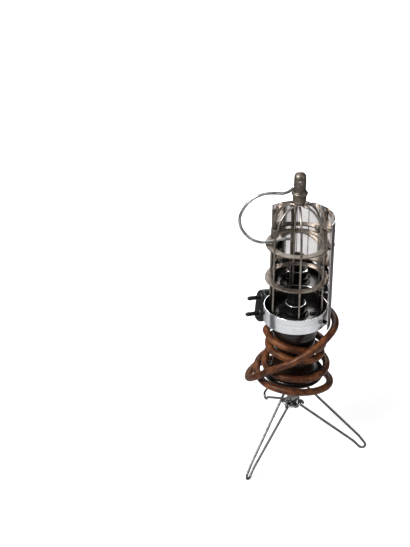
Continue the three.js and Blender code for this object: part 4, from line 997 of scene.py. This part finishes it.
sheet_v, sheet_f, sheet_m = reflector_sheet()
add("reflector_sheet", sheet_v, sheet_f, [mirror_in, mirror_out, grip_metal], "reflector",
    "reflector", faces_mat=sheet_m)
for index, share in enumerate(CLIP_SHARES, 1):
    azimuth = SHEET_START + share * SHEET_SWEEP
    turn = Matrix.Rotation(math.radians(azimuth), 4, "Z")
    bevelled(f"clip_{index}", merge(
        block_data((38.3, -3.5, 264.4), (38.9, 3.5, 272.1), turn),
        block_data((33.2, -3.5, 264.4), (38.7, 3.5, 265.0), turn),
        block_data((33.2, -3.5, 267.1), (38.7, 3.5, 267.7), turn),
    ), nickel, "reflector", f"reflector_clip_{index}", 0.15)
    lathe(f"rivet_{index}", [(0, 37.3), (1.9, 37.3), (1.9, 38.0), (1, 38.0), (1, 40.3), (1.9, 40.3),
                             (1.6, 40.8), (0.8, 41.0), (0, 41.0)],
          steel, "reflector", f"reflector_rivet_{index}", 0.3, 40,
          basis((0, 0, 269.9), polar(azimuth, 1, 0)))

# ---------------------------------------------------------------- floor and light


def node(kind, *sources, **values):
    """A node of the current tree, with sources for its first inputs and values for named ones."""
    made = tree.nodes.new(kind)
    for key, value in values.items():
        made.inputs[key].default_value = value
    for socket, source in zip(made.inputs, sources):
        tree.links.new(source.outputs[0] if hasattr(source, "outputs") else source, socket)
    return made


def greys(fac, stops):
    """A grey that follows a value through the stops."""
    made = node("ShaderNodeValToRGB", fac)
    fill_ramp(made.color_ramp, [(at, (value,) * 3) for at, value in stops])
    return made


def product(a, b):
    """The product of two greys."""
    made = node("ShaderNodeMix")
    made.data_type = "RGBA"
    made.blend_type = "MULTIPLY"
    made.inputs[0].default_value = 1
    tree.links.new(a.outputs[0], made.inputs[6])
    tree.links.new(b.outputs[0], made.inputs[7])
    return made.outputs[2]


def distance(source, location, scale):
    """Distance from a spot in a stretched frame."""
    mapped = node("ShaderNodeMapping", source, Location=location, Scale=scale)
    made = node("ShaderNodeVectorMath", mapped)
    made.operation = "LENGTH"
    return made.outputs["Value"]


# A pale floor, white to the camera apart from the object's shadow. Reflections see it as a bright
# pool round the lamp that fades outwards, with a darker patch at the left.
stage_mat = bpy.data.materials.new("floor_pale")
stage_mat.use_nodes = True
tree = stage_mat.node_tree
tree.nodes.clear()
paths = node("ShaderNodeLightPath")
ground = node("ShaderNodeTexCoord").outputs["Object"]
reach = distance(ground, (0.15, 0.2, 0), (1.3, 1.1, 1))
beside = distance(ground, (1.54, 0.1, 0), (3.85, 10, 1))
pool = greys(reach, [(0.42, 0.95), (0.85, 0.14)])
patch = greys(beside, [(0.7, 0.16), (1.0, 1.0)])
mirrored = node("ShaderNodeEmission", product(pool, patch))
glow = node("ShaderNodeMapRange", reach,
            **{"From Min": 0.4, "From Max": 1.1, "To Min": 0.66, "To Max": 1.0})
white = node("ShaderNodeEmission", Color=(1, 1, 1, 1))
tree.links.new(glow.outputs[0], white.inputs["Strength"])
diffuse = node("ShaderNodeBsdfDiffuse", Color=(0.6, 0.6, 0.6, 1))
lit = node("ShaderNodeAddShader", diffuse, white)
seen = node("ShaderNodeMixShader", paths.outputs["Is Camera Ray"], diffuse, lit)
choose = node("ShaderNodeMixShader", paths.outputs["Is Glossy Ray"], seen, mirrored)
node("ShaderNodeOutputMaterial", choose)

floor_mesh = bpy.data.meshes.new("floor")
size = 3.0  # metres
corners = [(-size, -size, 0), (size, -size, 0), (size, size, 0), (-size, size, 0)]
floor_mesh.from_pydata(corners, [], [[0, 1, 2, 3]])
floor_mesh.materials.append(stage_mat)
floor = bpy.data.objects.new("floor", floor_mesh)
bpy.context.scene.collection.objects.link(floor)

# The world: white to the camera, a low even light on the object, and for reflections a room that
# is bright overhead and on the left
world = bpy.data.worlds.new("world")
bpy.context.scene.world = world
world.use_nodes = True
tree = world.node_tree
tree.nodes.clear()
paths = node("ShaderNodeLightPath")
split = node("ShaderNodeSeparateXYZ", node("ShaderNodeTexCoord").outputs["Generated"])
upward = node("ShaderNodeMapRange", split.outputs["Z"], **{"From Min": -1})
across = node("ShaderNodeMapRange", split.outputs["X"], **{"From Min": -1})
heights = greys(upward, [(0.0, 0.5), (0.5, 0.3), (0.56, 0.2), (0.64, 0.24), (0.76, 0.6),
                         (0.88, 0.9), (1.0, 1.0)])
sides = greys(across, [(0.0, 0.7), (0.14, 1.0), (0.42, 0.85), (0.55, 0.5), (0.68, 0.22),
                       (1.0, 0.3)])
room = node("ShaderNodeBackground", product(heights, sides))
ambient = node("ShaderNodeBackground", Color=(0.95, 0.97, 1, 1), Strength=0.2)
white = node("ShaderNodeBackground", Color=(1, 1, 1, 1), Strength=1.0)
unseen = node("ShaderNodeMixShader", paths.outputs["Is Glossy Ray"], ambient, room)
choose = node("ShaderNodeMixShader", paths.outputs["Is Camera Ray"], unseen, white)
node("ShaderNodeOutputWorld", choose)


def lamp(name, at, target, size, power, colour=(1, 1, 1)):
    """A rectangular lamp; places and sizes are in metres, its power in watts."""
    data = bpy.data.lights.new(name, "AREA")
    data.shape = "RECTANGLE"
    data.size, data.size_y = size
    data.energy = power
    data.color = colour
    ob = bpy.data.objects.new(name, data)
    ob.location = at
    ob.rotation_mode = "QUATERNION"
    ob.rotation_quaternion = (Vector(target) - Vector(at)).to_track_quat("-Z", "Y")
    bpy.context.scene.collection.objects.link(ob)


middle = (0, 0, 0.18)
lamp("key", (-0.95, -0.6, 1.15), middle, (0.5, 0.5), 30, (1, 0.98, 0.95))
lamp("fill", (1.1, -0.6, 0.8), middle, (0.8, 0.8), 5)
lamp("back", (-0.1, 1.2, 1.1), middle, (0.9, 0.5), 9, (0.96, 0.98, 1))

scene = bpy.context.scene
scene.view_settings.view_transform = "Standard"
